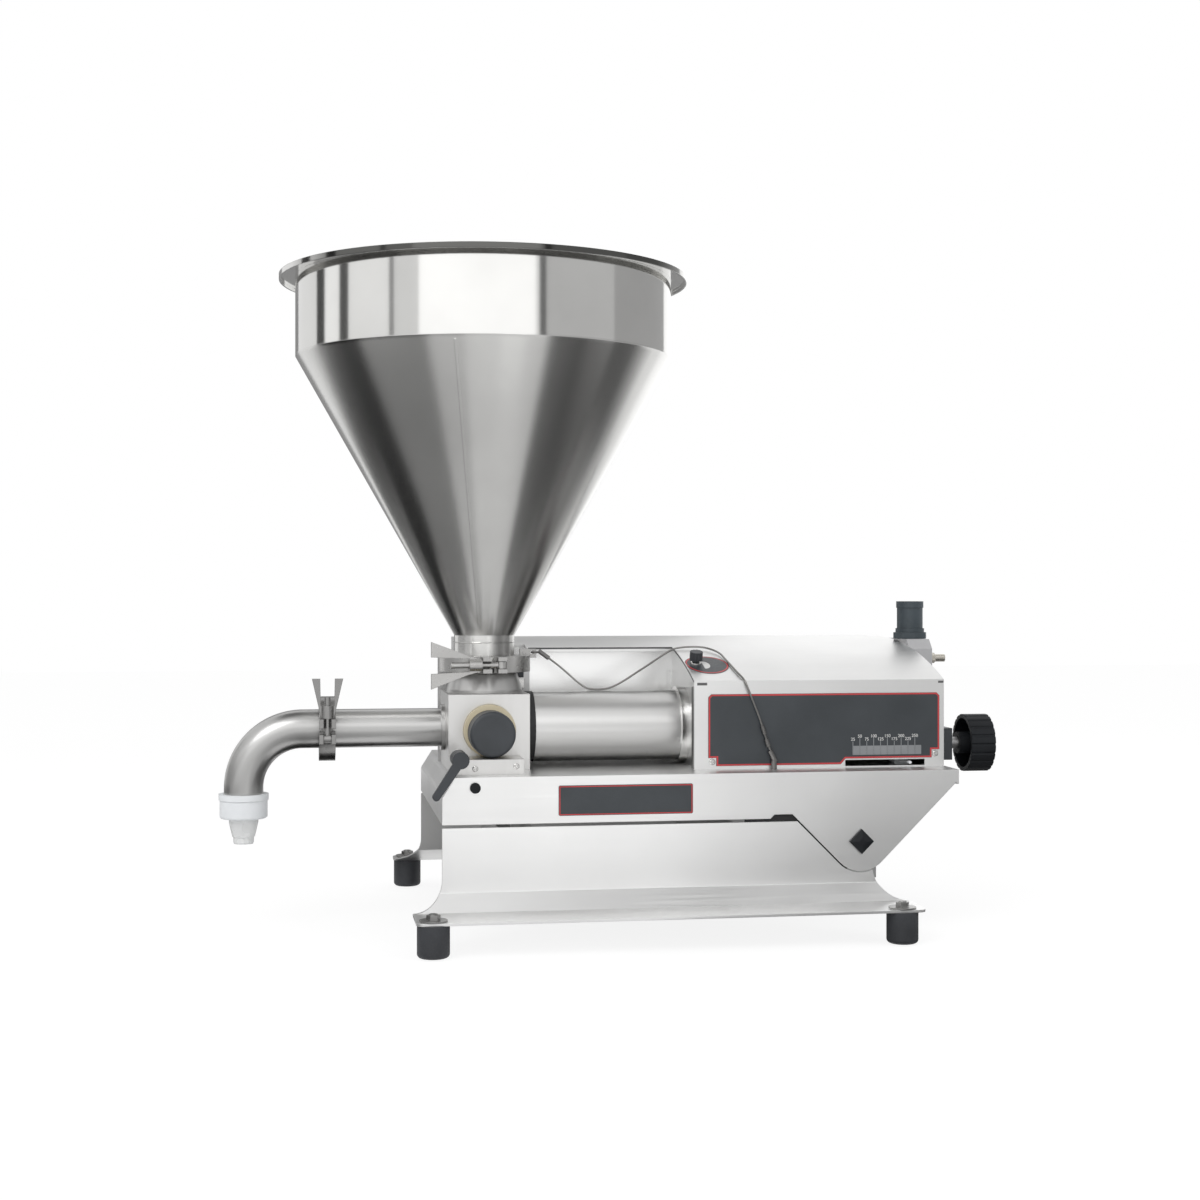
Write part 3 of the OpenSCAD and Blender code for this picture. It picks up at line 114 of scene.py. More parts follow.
def raised(tree, height, strength, edge):
    """Bump from a height value, with edges rounded by the given radius."""
    bump = tree.nodes.new("ShaderNodeBump")
    bump.inputs["Strength"].default_value = strength
    bump.inputs["Distance"].default_value = grain_height
    tree.links.new(height, bump.inputs["Height"])
    if edge:
        rounding = tree.nodes.new("ShaderNodeBevel")
        rounding.samples = 4
        rounding.inputs["Radius"].default_value = edge
        tree.links.new(rounding.outputs["Normal"], bump.inputs["Normal"])
    return bump.outputs["Normal"]


def metal(name, dark, light, rough, stretch=(1, 1, 1), grain=400.0, depth=0.1,
          edge=soft_edge, vary=0.04):
    """Brushed or turned metal: fine lines along the axis with the smallest stretch."""
    material = bpy.data.materials.new(name)
    skin = shader(material)
    tree = material.node_tree
    lines = object_noise(tree, grain, 2.0, stretch)
    clouds = spread(tree, object_noise(tree, 9.0, 4.0), 0, 1)
    tree.links.new(tones(tree, clouds, dark, light), skin.inputs["Base Color"])
    tree.links.new(spread(tree, lines, rough - vary, rough + vary), skin.inputs["Roughness"])
    tree.links.new(raised(tree, lines, depth, edge), skin.inputs["Normal"])
    skin.inputs["Metallic"].default_value = 1.0
    return material


def dress(material, *names):
    """Gives a finish to the machine's own parts."""
    for name in names:
        slots = nodes[name].data.materials
        slots.clear()
        slots.append(material)


def smooth_route(points, steps):
    """A smooth curve through the places of a route."""
    last = len(points) - 1
    line = []
    for i in range(last):
        a, b, c, d = points[max(i - 1, 0)], points[i], points[i + 1], points[min(i + 2, last)]
        for s in range(steps):
            t = s / steps
            line.append(0.5 * (2 * b + (c - a) * t + (2 * a - 5 * b + 4 * c - d) * t * t
                               + (3 * b - a - 3 * c + d) * t ** 3))
    return line + [points[last]]


wire_line = smooth_route([at(*place) for place in wire_route], 4)
wire_curve = bpy.data.curves.new("wire_rope", "CURVE")
wire_curve.dimensions = "3D"
wire_curve.bevel_depth = wire_width / 2
wire_curve.bevel_resolution = 3
wire_curve.use_fill_caps = True
strand = wire_curve.splines.new("POLY")
strand.points.add(len(wire_line) - 1)
for place, spot in zip(wire_line, strand.points):
    spot.co = (*place, 1)
wire_rope = bpy.data.objects.new("wire_rope", wire_curve)
bpy.context.scene.collection.objects.link(wire_rope)
wire_steel = metal("wire_strands", (0.16, 0.155, 0.15), (0.34, 0.33, 0.32), 0.38,
                   grain=1500.0, depth=0.6, edge=0)
wire_rope.data.materials.append(wire_steel)
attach(wire_rope, "carriage")
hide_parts("lanyard")
fitting_steel = metal("crimped_fittings", (0.13, 0.127, 0.124), (0.25, 0.245, 0.24), 0.3,
                      grain=300.0)
dress(fitting_steel, "lanyard_fittings")

# Studio: a pale floor, a white surround and two soft lamps. The camera and polished steel
# see the surround and the floor as white, and the machine gets less light from them.
surround_light, floor_light, floor_white_share = 0.62, 1.1, 0.78


def deselect():
    """Clears the selection before an operator works on a new piece."""
    if bpy.context.object and bpy.context.object.mode != "OBJECT":
        bpy.ops.object.mode_set(mode="OBJECT")
    bpy.ops.object.select_all(action="DESELECT")


def reckon(tree, kind, operation, *values):
    """A Math or VectorMath node that works on sockets and plain values."""
    step = tree.nodes.new("ShaderNode" + kind)
    step.operation = operation
    for socket, value in zip(step.inputs, values):
        if isinstance(value, bpy.types.NodeSocket):
            tree.links.new(value, socket)
        else:
            socket.default_value = value
    return step.outputs["Value" if operation in ("LENGTH", "DOT_PRODUCT") else 0]


def blended(tree, share, first, second):
    """Two shaders mixed by a share."""
    mix = tree.nodes.new("ShaderNodeMixShader")
    tree.links.new(share, mix.inputs["Fac"])
    tree.links.new(first, mix.inputs[1])
    tree.links.new(second, mix.inputs[2])
    return mix.outputs[0]


world = bpy.data.worlds.new("studio")
bpy.context.scene.world = world
bpy.context.scene.view_settings.view_transform = "Standard"
world.use_nodes = True
sky = world.node_tree
sky.nodes.clear()
white = sky.nodes.new("ShaderNodeBackground")
fill = sky.nodes.new("ShaderNodeBackground")
for surround, strength in ((white, 1.0), (fill, surround_light)):
    surround.inputs["Color"].default_value = (1, 1, 1, 1)
    surround.inputs["Strength"].default_value = strength
rays = sky.nodes.new("ShaderNodeLightPath").outputs
seen = reckon(sky, "Math", "MAXIMUM", rays["Is Camera Ray"], rays["Is Glossy Ray"])
seen = reckon(sky, "Math", "MAXIMUM", seen, rays["Is Transmission Ray"])
sky_out = sky.nodes.new("ShaderNodeOutputWorld")
sky.links.new(blended(sky, seen, fill.outputs[0], white.outputs[0]), sky_out.inputs["Surface"])

for lamp_name, spot, aim, size, power in (
    ("key_lamp", (-1.6, -1.8, 2.2), (0, 0, 0.25), 1.6, 26.0),
    ("side_lamp", (2.0, -1.2, 1.6), (0.1, 0, 0.2), 1.4, 12.0),
):
    lamp_data = bpy.data.lights.new(lamp_name, "AREA")
    lamp_data.size = size
    lamp_data.energy = power
    lamp = bpy.data.objects.new(lamp_name, lamp_data)
    bpy.context.scene.collection.objects.link(lamp)
    lamp.location = spot
    lamp.rotation_euler = (Vector(aim) - Vector(spot)).to_track_quat("-Z", "Y").to_euler()
    lamp.visible_glossy = lamp_name == "key_lamp"

deselect()
bpy.ops.mesh.primitive_plane_add(size=12, location=(0, 0, -0.0005))
floor = bpy.context.object
floor.name = "floor"
floor_paint = bpy.data.materials.new("pale_floor")
floor_skin = shader(floor_paint)
floor_skin.inputs["Base Color"].default_value = (0.93, 0.93, 0.93, 1)
floor_skin.inputs["Roughness"].default_value = 0.9
floor_skin.inputs["Specular IOR Level"].default_value = 0.1
floor_tree = floor_paint.node_tree
floor_white = floor_tree.nodes.new("ShaderNodeEmission")
floor_white.inputs["Strength"].default_value = floor_light
rays = floor_tree.nodes.new("ShaderNodeLightPath").outputs
seen = reckon(floor_tree, "Math", "MAXIMUM", rays["Is Camera Ray"], rays["Is Glossy Ray"])
seen = reckon(floor_tree, "Math", "MULTIPLY", seen, floor_white_share)
floor_look = blended(floor_tree, seen, floor_skin.outputs["BSDF"], floor_white.outputs[0])
floor_tree.links.new(floor_look, floor_tree.nodes["Material Output"].inputs["Surface"])
floor.data.materials.append(floor_paint)

# Cards that only polished steel sees: upright ones round the room for the hopper's band,
# and flat ones on the floor and overhead for its cone, the tubes and the hood.
# Angles run round the hopper from straight ahead to the right, in degrees.
hopper_x, hopper_y = -158, -37
room_r, floor_card_z, roof_card_z = 2600, 2, 2400
wall_card_low, wall_card_high = 700, 1700


def around(angle, radius, height):
    """A place round the hopper's axis."""
    turn = math.radians(angle)
    return at(hopper_x + radius * math.sin(turn), hopper_y - radius * math.cos(turn), height)


def reflector(name, corners, glow):
    """A four-cornered card that shows only in reflections."""
    deselect()
    bpy.ops.mesh.primitive_plane_add(size=1)
    card = bpy.context.object
    card.name = name
    for spot, corner in zip(card.data.vertices, corners):
        spot.co = corner
    paint = bpy.data.materials.new(name)
    paint.use_nodes = True
    paint.node_tree.nodes.clear()
    light = paint.node_tree.nodes.new("ShaderNodeEmission")
    light.inputs["Strength"].default_value = glow
    out = paint.node_tree.nodes.new("ShaderNodeOutputMaterial")
    paint.node_tree.links.new(light.outputs[0], out.inputs["Surface"])
    card.data.materials.append(paint)
    card.visible_camera = False
    card.visible_diffuse = False
    card.visible_shadow = False
    card.visible_transmission = False


def upright_card(name, left, right, low, high, glow):
    """A card that stands on the room's wall between two angles."""
    reflector(name, [around(angle, room_r, height)
                     for height in (low, high) for angle in (left, right)], glow)


for number, (left, right, glow) in enumerate((
    (-122, -113, 0.08), (-112, -99, 1.2), (-98.5, -91, 0.1), (-91, -61.5, 1.1),
    (-61.5, -58.5, 0.3), (-58.5, -43, 0.9), (-43, 24, 1.5), (26, 30, 0.15),
    (30, 76, 0.64), (76, 135, 0.46),
)):
    upright_card(f"wall_card_{number}", left, right, wall_card_low, wall_card_high, glow)
for number, (left, right, near, far, glow) in enumerate((
    (-150, -86, 60, 2000, 0.02), (-86, -41, 200, 1100, 0.2), (-41, -18, 200, 780, 0.5),
    (-18, 36, 200, 760, 0.72), (36, 80, 200, 1000, 0.18), (80, 102, 250, 1500, 0.18),
    (102, 128, 250, 1500, 0.4), (4, 19, 800, 1800, 1.8), (19, 26, 800, 1800, 0.85),
    (26, 60, 1010, 1800, 0.4),
)):
    reflector(f"floor_card_{number}", [around(angle, reach, floor_card_z)
                                       for reach in (near, far) for angle in (left, right)], glow)
for name, left, right, high, glow in (
    ("back_card", 163, 205, 1700, 0.3), ("back_right_card", 130, 163, 1700, 1.3),
    ("left_card", -125, -60, 690, 0.5), ("near_right_card", 16, 24, 690, 0.8),
    ("right_card", 24, 70, 690, 0.6),
):
    upright_card(name, left, right, 0, high, glow)
for name, left, right, front, back, height, glow in (
    ("behind_card", -900, 900, 300, 1500, floor_card_z, 0.3),
    ("under_card", -215, 215, -190, 190, 1, 0.12),
    ("roof_left_card", -1200, 350, -1300, -300, roof_card_z, 0.8),
    ("roof_right_card", 350, 1200, -1300, -300, roof_card_z, 0.12),
    ("roof_back_card", -1200, -150, -300, 1300, roof_card_z, 0.08),
):
    reflector(name, [at(x, y, height) for y in (front, back) for x in (left, right)], glow)

# Base frame: two folded stainless rails, brushed along their length, tied by square tubes.
# Lugs inside the rails hold the shaft that the deck tilts on.
along_x, along_z = (0.012, 1, 1), (1, 1, 0.012)
rail_steel = metal("rail_sheet", (0.84, 0.84, 0.835), (0.9, 0.9, 0.895), 0.33,
                   stretch=along_x, grain=900.0, depth=0.03)
dress(rail_steel, "base_rail_front")
# The rear rail is a darker copy of the front rail's sheet: painted shade for its shaded inner
# side.
shaded_rail_steel = metal("rear_rail_sheet_painted_shade", (0.62, 0.62, 0.615), (0.7, 0.7, 0.695), 0.33,
                         stretch=along_x, grain=900.0, depth=0.03)
dress(shaded_rail_steel, "base_rail_rear")
plain_steel = metal("plain_bar", (0.42, 0.42, 0.42), (0.52, 0.52, 0.52), 0.36,
                    grain=300.0, depth=0.06)
dress(plain_steel, "base_ties", "pivot_lugs", "pivot_shaft", "actuator_plate", "piston_rod",
      "spindle")


# Feet and black mouldings: rubber buffers under the rails, square caps on the shaft's ends,
# a plug in the deck's front wall, and the cap, lever, knob, bearing and wheel worked by hand.
def moulded(name, dark, light, rough, grain=900.0, depth=0.15, edge=soft_edge):
    """Moulded plastic or rubber: fine grain and slightly cloudy colour."""
    material = bpy.data.materials.new(name)
    skin = shader(material)
    tree = material.node_tree
    pits = object_noise(tree, grain, 2.0)
    clouds = spread(tree, object_noise(tree, 25.0, 4.0), 0, 1)
    tree.links.new(tones(tree, clouds, dark, light), skin.inputs["Base Color"])
    tree.links.new(spread(tree, pits, rough - 0.08, rough + 0.08), skin.inputs["Roughness"])
    tree.links.new(raised(tree, pits, depth, edge), skin.inputs["Normal"])
    return material


foot_rubber = moulded("foot_rubber", (0.024, 0.026, 0.03), (0.042, 0.045, 0.052), 0.62)
dress(foot_rubber, "rubber_feet")
black_plastic = moulded("black_moulding", (0.028, 0.032, 0.037), (0.044, 0.05, 0.058), 0.45)
dress(black_plastic, "plug_cap", "clamp_lever", "spindle_bearing", "speed_knob")
wheel_black = moulded("wheel_black", (0.008, 0.009, 0.011), (0.014, 0.016, 0.019), 0.5)
shader(wheel_black).inputs["Specular IOR Level"].default_value = 0.2
dress(wheel_black, "handwheel", "pivot_caps", "deck_plug")

# Deck: a folded channel of stainless sheet. Its top and nose are rolled with fine dots,
# its side walls are plain and brushed along their length.
dot_scale, dot_inner, dot_outer, dot_rise = 150.0, 0.1, 0.35, 0.0003
deck_steel = metal("deck_sheet", (0.78, 0.78, 0.775), (0.85, 0.85, 0.845), 0.33,
                   stretch=along_x, grain=900.0, depth=0.03)
deck_tree = deck_steel.node_tree
deck_skin = shader(deck_steel)
deck_place = deck_tree.nodes.new("ShaderNodeTexCoord")
deck_dots = deck_tree.nodes.new("ShaderNodeTexVoronoi")
deck_dots.inputs["Scale"].default_value = dot_scale
deck_dots.inputs["Randomness"].default_value = 0.0
deck_tree.links.new(deck_place.outputs["Object"], deck_dots.inputs["Vector"])
deck_facing = deck_tree.nodes.new("ShaderNodeSeparateXYZ")
deck_tree.links.new(deck_place.outputs["Normal"], deck_facing.inputs[0])
deck_side = reckon(deck_tree, "Math", "ABSOLUTE", deck_facing.outputs["Y"])
deck_rolled = reckon(deck_tree, "Math", "LESS_THAN", deck_side, 0.5)
dot_height = spread(deck_tree, deck_dots.outputs["Distance"], 1, 0, dot_inner, dot_outer)
brushed_normal = deck_skin.inputs["Normal"].links[0].from_socket
deck_bump = deck_tree.nodes.new("ShaderNodeBump")
deck_bump.inputs["Distance"].default_value = dot_rise
deck_tree.links.new(deck_rolled, deck_bump.inputs["Strength"])
deck_tree.links.new(dot_height, deck_bump.inputs["Height"])
deck_tree.links.new(brushed_normal, deck_bump.inputs["Normal"])
deck_tree.links.new(deck_bump.outputs["Normal"], deck_skin.inputs["Normal"])
dress(deck_steel, "deck")

# Name plate: a dark printed film on the deck's front wall, bare inside its red line.
# The line is ink, a little proud of the film. The panel on the hood has the same film.
plate_left, plate_right, plate_low, plate_high = -99, 30.5, 119.45, 147.95
plate_face, plate_margin, plate_line_width = -155.5, 0.6, 0.9
ink_proud, ink_depth = 0.15, 0.2
label_film = moulded("label_film", (0.03, 0.036, 0.042), (0.042, 0.049, 0.056), 0.4,
                     grain=500.0, depth=0.05, edge=0)
dress(label_film, "nameplate", "panel_label")
red_ink = moulded("red_ink", (0.5, 0.035, 0.04), (0.58, 0.045, 0.05), 0.4,
                  grain=500.0, depth=0.05, edge=0)


def oblong(left, right, low, high):
    """The four corners of an oblong in the front view."""
    return [(left, low), (right, low), (right, high), (left, high)]


def outline_face(name, corners, front):
    """A flat face with the given outline in the front view, left in edit mode."""
    deselect()
    bpy.ops.mesh.primitive_circle_add(vertices=len(corners), radius=1, fill_type="NGON")
    piece = bpy.context.object
    piece.name = name
    for spot, (x, z) in zip(piece.data.vertices, corners):
        spot.co = at(x, front, z)
    bpy.ops.object.mode_set(mode="EDIT")
    return piece


def extrude_back(depth):
    """Draws the face that is being edited to the back, and closes it."""
    bpy.ops.mesh.select_all(action="SELECT")
    bpy.ops.mesh.extrude_region_move(TRANSFORM_OT_translate={"value": (0, depth / 1000, 0)})
    bpy.ops.mesh.select_all(action="SELECT")
    bpy.ops.mesh.normals_make_consistent(inside=False)
    bpy.ops.object.mode_set(mode="OBJECT")


def printed_line(name, corners, margin, width, front):
    """A printed line that runs inside an outline at an even distance from its edge."""
    piece = outline_face(name, corners, front)
    bpy.ops.mesh.select_mode(type="FACE")
    bpy.ops.mesh.select_all(action="SELECT")
    bpy.ops.mesh.inset(thickness=margin / 1000)
    bpy.ops.mesh.select_all(action="INVERT")
    bpy.ops.mesh.delete(type="FACE")
    bpy.ops.mesh.select_all(action="SELECT")
    bpy.ops.mesh.inset(thickness=width / 1000)
    bpy.ops.mesh.delete(type="FACE")
    extrude_back(ink_depth)
    return piece


def set_place(piece):
    """Puts a piece's place, turn and scale into its mesh."""
    deselect()
    piece.select_set(True)
    bpy.context.view_layer.objects.active = piece
    bpy.ops.object.transform_apply(location=True, rotation=True, scale=True)


def settle(piece, material, body):
    """Gives a finished piece its material and its body, with its place in its mesh."""
    set_place(piece)
    piece.data.materials.clear()
    piece.data.materials.append(material)
    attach(piece, body)


plate_line = printed_line("plate_line", oblong(plate_left, plate_right, plate_low, plate_high),
                          plate_margin, plate_line_width, plate_face - ink_proud)
settle(plate_line, red_ink, "carriage")

# Gap strips: dark sheets of painted shade inside both rails.
# They fill the gap between the rail's cut edge and the deck with the shade that shows there.
gap_shade_front, gap_shade_rear, gap_shade_depth = -151.8, 151.2, 0.6
gap_shade_outline = [(82, 104), (133, 104), (179, 58), (188, 66), (140, 117), (82, 117)]
# Near-black tone of painted shade for the gap under the deck.
gap_shade_film = moulded("gap_shade_film", (0.012, 0.012, 0.013), (0.022, 0.022, 0.024), 0.7)


def cut_sheet(name, corners, front, depth):
    """A flat piece cut to an outline in the front view, with its face at front."""
    piece = outline_face(name, corners, front)
    extrude_back(depth)
    return piece


front_gap_shade = cut_sheet("front_gap_shade", gap_shade_outline, gap_shade_front, gap_shade_depth)
settle(front_gap_shade, gap_shade_film, "base")
rear_gap_shade = cut_sheet("rear_gap_shade", gap_shade_outline, gap_shade_rear, gap_shade_depth)
settle(rear_gap_shade, gap_shade_film, "base")

# Valve: a turned and milled stainless block with a clamping saddle and a turned boss on top.
# A cream plastic plug with rubber seals fills its bore; pale gaskets close the ferrules.
block_steel = metal("milled_block", (0.62, 0.615, 0.605), (0.72, 0.715, 0.705), 0.36,
                    stretch=(1, 1, 0.03), grain=700.0, depth=0.03)
dress(block_steel, "valve_block", "block_saddle")
boss_steel = metal("turned_boss", (0.42, 0.417, 0.41), (0.5, 0.497, 0.49), 0.32,
                   stretch=(1, 1, 0.03), grain=500.0, depth=0.01)
dress(boss_steel, "inlet_ferrule")
plug_plastic = moulded("cream_plug", (0.62, 0.54, 0.37), (0.72, 0.64, 0.46), 0.5)
dress(plug_plastic, "valve_plug")
seal_rubber = moulded("black_seal", (0.012, 0.012, 0.013), (0.022, 0.022, 0.024), 0.5)
dress(seal_rubber, "plug_seals", "cylinder_seal", "piston_seal")
gasket_rubber = moulded("pale_gasket", (0.55, 0.52, 0.46), (0.66, 0.63, 0.56), 0.6)
dress(gasket_rubber, "hopper_gasket", "spout_gasket")

# Dosing cylinder: a satin stainless tube that is turned and held between the block and the
# hood, with a polished ring where it meets the hood.
cylinder_steel = metal("satin_cylinder", (0.6, 0.597, 0.59), (0.66, 0.657, 0.65), 0.32,
                       stretch=(1, 0.03, 0.03), grain=500.0, depth=0.01)
dress(cylinder_steel, "dosing_cylinder")
ring_steel = metal("polished_ring", (0.78, 0.775, 0.765), (0.84, 0.835, 0.825), 0.15,
                   grain=300.0, depth=0.03)
dress(ring_steel, "cylinder_ring")

# Drive and air parts: anodised aluminium bodies under the hood and at its right end,
# a nickelled inlet for the air, and a dark plastic socket for the pedal's plug.
air_metal = metal("anodised_body", (0.5, 0.5, 0.51), (0.58, 0.58, 0.59), 0.4, depth=0.06)
dress(air_metal, "air_barrel", "air_heads", "air_piston", "valve_actuator", "air_manifold")
nickel = metal("nickelled_inlet", (0.55, 0.52, 0.46), (0.66, 0.63, 0.57), 0.25, depth=0.05)
dress(nickel, "air_nipple")
socket_plastic = moulded("socket_plastic", (0.036, 0.05, 0.06), (0.054, 0.071, 0.085), 0.5)
dress(socket_plastic, "pedal_socket")

# Hood: rolled stainless sheet with a fine matt finish, brushed along its length.
# Its left end plate is brushed upright, and its rear wall is a brighter copy of the sheet:
# painted light.
hood_steel = metal("hood_sheet", (0.76, 0.76, 0.755), (0.82, 0.82, 0.815), 0.38,
                   stretch=along_x, grain=900.0, depth=0.03)
dress(hood_steel, "hood")
end_steel = metal("end_plate_sheet", (0.58, 0.58, 0.575), (0.66, 0.66, 0.655), 0.36,
                  stretch=along_z, grain=900.0, depth=0.03)
dress(end_steel, "hood_end_plate")
# Brighter tone of the hood's sheet on the rear wall: painted light.
lit_wall_steel = metal("rear_wall_sheet_painted_light", (0.9, 0.9, 0.895), (0.95, 0.95, 0.945), 0.26,
                   stretch=along_x, grain=900.0, depth=0.01, vary=0.01)
dress(lit_wall_steel, "rear_wall")

# Front panel: the same dark film on the hood's front, notched round its lower screws and
# stepped over the scale slot. A dose scale with plain numbers is printed over the slot.
panel_face, panel_margin, panel_line_width = -118, 0.25, 1.5
panel_left, panel_right, panel_low, panel_high = 54, 290, 160.5, 230.8
panel_step, panel_slope, panel_cut, slot_left_x, notch = 166, 5, 3, 193, 8
panel_outline = [
    (panel_left + notch, panel_low), (slot_left_x - panel_slope, panel_low),
    (slot_left_x, panel_step), (panel_right - notch, panel_step),
    (panel_right - notch, panel_step + notch), (panel_right, panel_step + notch),
    (panel_right, panel_high - panel_cut), (panel_right - panel_cut, panel_high),
    (panel_left + panel_cut, panel_high), (panel_left, panel_high - panel_cut),
    (panel_left, panel_low + notch), (panel_left + notch, panel_low + notch),
]
panel_line = printed_line("panel_line", panel_outline, panel_margin, panel_line_width,
                          panel_face - ink_proud)
settle(panel_line, red_ink, "carriage")
grey_ink = moulded("grey_ink", (0.2, 0.21, 0.22), (0.27, 0.28, 0.29), 0.45,
                   grain=500.0, depth=0.05, edge=0)
white_ink = moulded("white_ink", (0.68, 0.68, 0.67), (0.76, 0.76, 0.75), 0.45,
                    grain=500.0, depth=0.05, edge=0)
to_front = (math.radians(90), 0, 0)
scale_left, scale_pitch, scale_steps, dose_step = 200.5, 7.1, 10, 25
cell_low, cell_high, cell_gap, cell_proud, cell_depth = 169.5, 178.5, 0.5, 0.12, 0.17
mark_half, short_mark, long_mark, mark_proud, mark_depth = 0.35, 183, 186, 0.14, 0.19
number_size, number_depth, number_gap, number_proud = 0.0044, 0.0001, 0.6, 0.05


def joined(name, parts):
    """Makes one piece of several."""
    deselect()
    for part in parts:
        part.select_set(True)
    bpy.context.view_layer.objects.active = parts[0]
    bpy.ops.object.join()
    parts[0].name = name
    return parts[0]


cells, marks, numbers = [], [], []
for step in range(scale_steps):
    x = scale_left + step * scale_pitch
    mark_high = long_mark if step % 2 else short_mark
    cell = oblong(x + cell_gap, x + scale_pitch - cell_gap, cell_low, cell_high)
    cells.append(cut_sheet(f"cell_{step}", cell, panel_face - cell_proud, cell_depth))
    mark = oblong(x - mark_half, x + mark_half, cell_low, mark_high)
    marks.append(cut_sheet(f"mark_{step}", mark, panel_face - mark_proud, mark_depth))
    deselect()
    bpy.ops.object.text_add()
    number = bpy.context.object
    number.data.body = str(dose_step * (step + 1))
    number.data.size = number_size
    number.data.align_x = "CENTER"
    number.data.extrude = number_depth
    bpy.ops.object.convert(target="MESH")
    number = bpy.context.object
    number.rotation_euler = to_front
    number.location = at(x, panel_face - number_proud, mark_high + number_gap)
    set_place(number)
    numbers.append(number)
settle(joined("scale_cells", cells), grey_ink, "carriage")
settle(joined("scale_marks", marks), grey_ink, "carriage")
settle(joined("scale_numbers", numbers), white_ink, "carriage")

# Screws: low domed stainless heads with a round socket, on the panel's notched corners,
# the saddle and the back. One is turned, and the rest are copies of it.
screw_steel = metal("screw_heads", (0.55, 0.545, 0.535), (0.66, 0.655, 0.645), 0.24, depth=0.05)
to_back = (math.radians(-90), 0, 0)
smooth_angle = math.radians(35)


def pick_faces(piece, wanted):
    """Selects the faces that pass a test, and leaves the piece in edit mode."""
    bpy.ops.object.mode_set(mode="EDIT")
    bpy.ops.mesh.select_mode(type="FACE")
    bpy.ops.mesh.select_all(action="DESELECT")
    bpy.ops.object.mode_set(mode="OBJECT")
    for face in piece.data.polygons:
        face.select = wanted(face)
    bpy.ops.object.mode_set(mode="EDIT")


def screw_head(name, width, height):
    """A domed head on its own axis, with a rounded shoulder and a socket."""
    deselect()
    bpy.ops.mesh.primitive_cylinder_add(vertices=24, radius=width / 2000, depth=height / 1000,
                                        location=(0, 0, height / 2000))
    head = bpy.context.object
    head.name = name
    pick_faces(head, lambda face: face.normal.z > 0.9)
    bpy.ops.mesh.bevel(offset=height / 1800, segments=4)
    bpy.ops.object.mode_set(mode="OBJECT")
    top = max(face.center.z for face in head.data.polygons) - 1e-6
    pick_faces(head, lambda face: face.normal.z > 0.99 and face.center.z > top)
    bpy.ops.mesh.inset(thickness=width / 9000)
    bpy.ops.mesh.extrude_region_move(TRANSFORM_OT_translate={"value": (0, 0, -height / 2200)})
    bpy.ops.object.mode_set(mode="OBJECT")
    bpy.ops.object.shade_smooth_by_angle(angle=smooth_angle)
    return head


def fix_screws(name, width, height, places, tilt):
    """Copies of one head at the given places, turned to face outwards."""
    heads = [screw_head(f"{name}_0", width, height)]
    while len(heads) < len(places):
        head = heads[0].copy()
        head.data = heads[0].data.copy()
        bpy.context.scene.collection.objects.link(head)
        heads.append(head)
    for head, place in zip(heads, places):
        head.rotation_euler = tilt
        head.location = at(*place)
        set_place(head)
    settle(joined(name, heads), screw_steel, "carriage")


fix_screws("panel_screws", 6.5, 2.2, [(58, -117, 164.6), (286, -117, 170)], to_front)
fix_screws("saddle_screws", 6, 2, [(-136.6, -133, 165), (-176, -133, 163)], to_front)
fix_screws("back_screws", 8, 3,
           [(x, 150, z) for x in (-160, -20, 120, 280) for z in (168, 270)], to_back)

# Corner strips of the hood: the front sheet is rolled back at its left end, and a thin dark strip
# of painted shade lies between each corner strip and the roof. The rolled fold is a dark copy of
# the steel: painted shade for the recess behind it.
shade_strip_face, shade_strip_depth = -117.1, 0.2
fold_x, fold_y, fold_z = 41.2, -113.8, 198.2
fold_r, fold_length, fold_round = 0.0032, 0.0805, 0.0008
# Dark tone of painted shade for the strips at the hood's corners and seams.
edge_shade_film = moulded("painted_edge_shade", (0.08, 0.08, 0.082), (0.13, 0.13, 0.132), 0.7,
                    grain=500.0, depth=0.05, edge=0)
left_corner_shade = cut_sheet("left_corner_shade", oblong(43, 53, 239.6, 242.2), shade_strip_face, shade_strip_depth)
settle(left_corner_shade, edge_shade_film, "carriage")
deselect()
bpy.ops.mesh.primitive_cylinder_add(vertices=32, radius=fold_r, depth=fold_length,
                                    location=at(fold_x, fold_y, fold_z))
left_fold = bpy.context.object
left_fold.name = "left_fold"
pick_faces(left_fold, lambda face: abs(face.normal.z) > 0.9)
bpy.ops.mesh.bevel(offset=fold_round, segments=3)
bpy.ops.object.mode_set(mode="OBJECT")
bpy.ops.object.shade_smooth_by_angle(angle=smooth_angle)
fold_shade_steel = metal("rolled_fold_painted_shade", (0.2, 0.2, 0.198), (0.27, 0.27, 0.267), 0.3,
                   stretch=(1, 1, 0.05), grain=600.0, depth=0.03)
settle(left_fold, fold_shade_steel, "carriage")
right_corner_shade = cut_sheet("right_corner_shade", oblong(289, 294.6, 240.2, 242.4), shade_strip_face, shade_strip_depth)
settle(right_corner_shade, edge_shade_film, "carriage")

# Seams of the hood: dark lines of painted shade along the lip over the cylinder and along the
# roof's cut edge, where the sheets meet the end plate.
roof_r, crest_y, crest_z = 560, 86, 282
lip_face, lip_depth = -7.3, 0.3
seam_x, seam_mid_y, seam_reach = 39.9, -62, 54.5
seam_drop, seam_half_height, seam_depth = 1.1, 0.8, 0.2


def roof_height(y):
    """Height of the roof's outer face."""
    return crest_z - roof_r + math.sqrt(roof_r ** 2 - (y - crest_y) ** 2)


def thicken(piece, depth):
    """Gives a thin film its depth, behind the face that shows."""
    bpy.context.view_layer.objects.active = piece
    bpy.ops.object.modifier_add(type="SOLIDIFY")
    piece.modifiers[0].thickness = depth / 1000
    bpy.ops.object.modifier_apply(modifier=piece.modifiers[0].name)


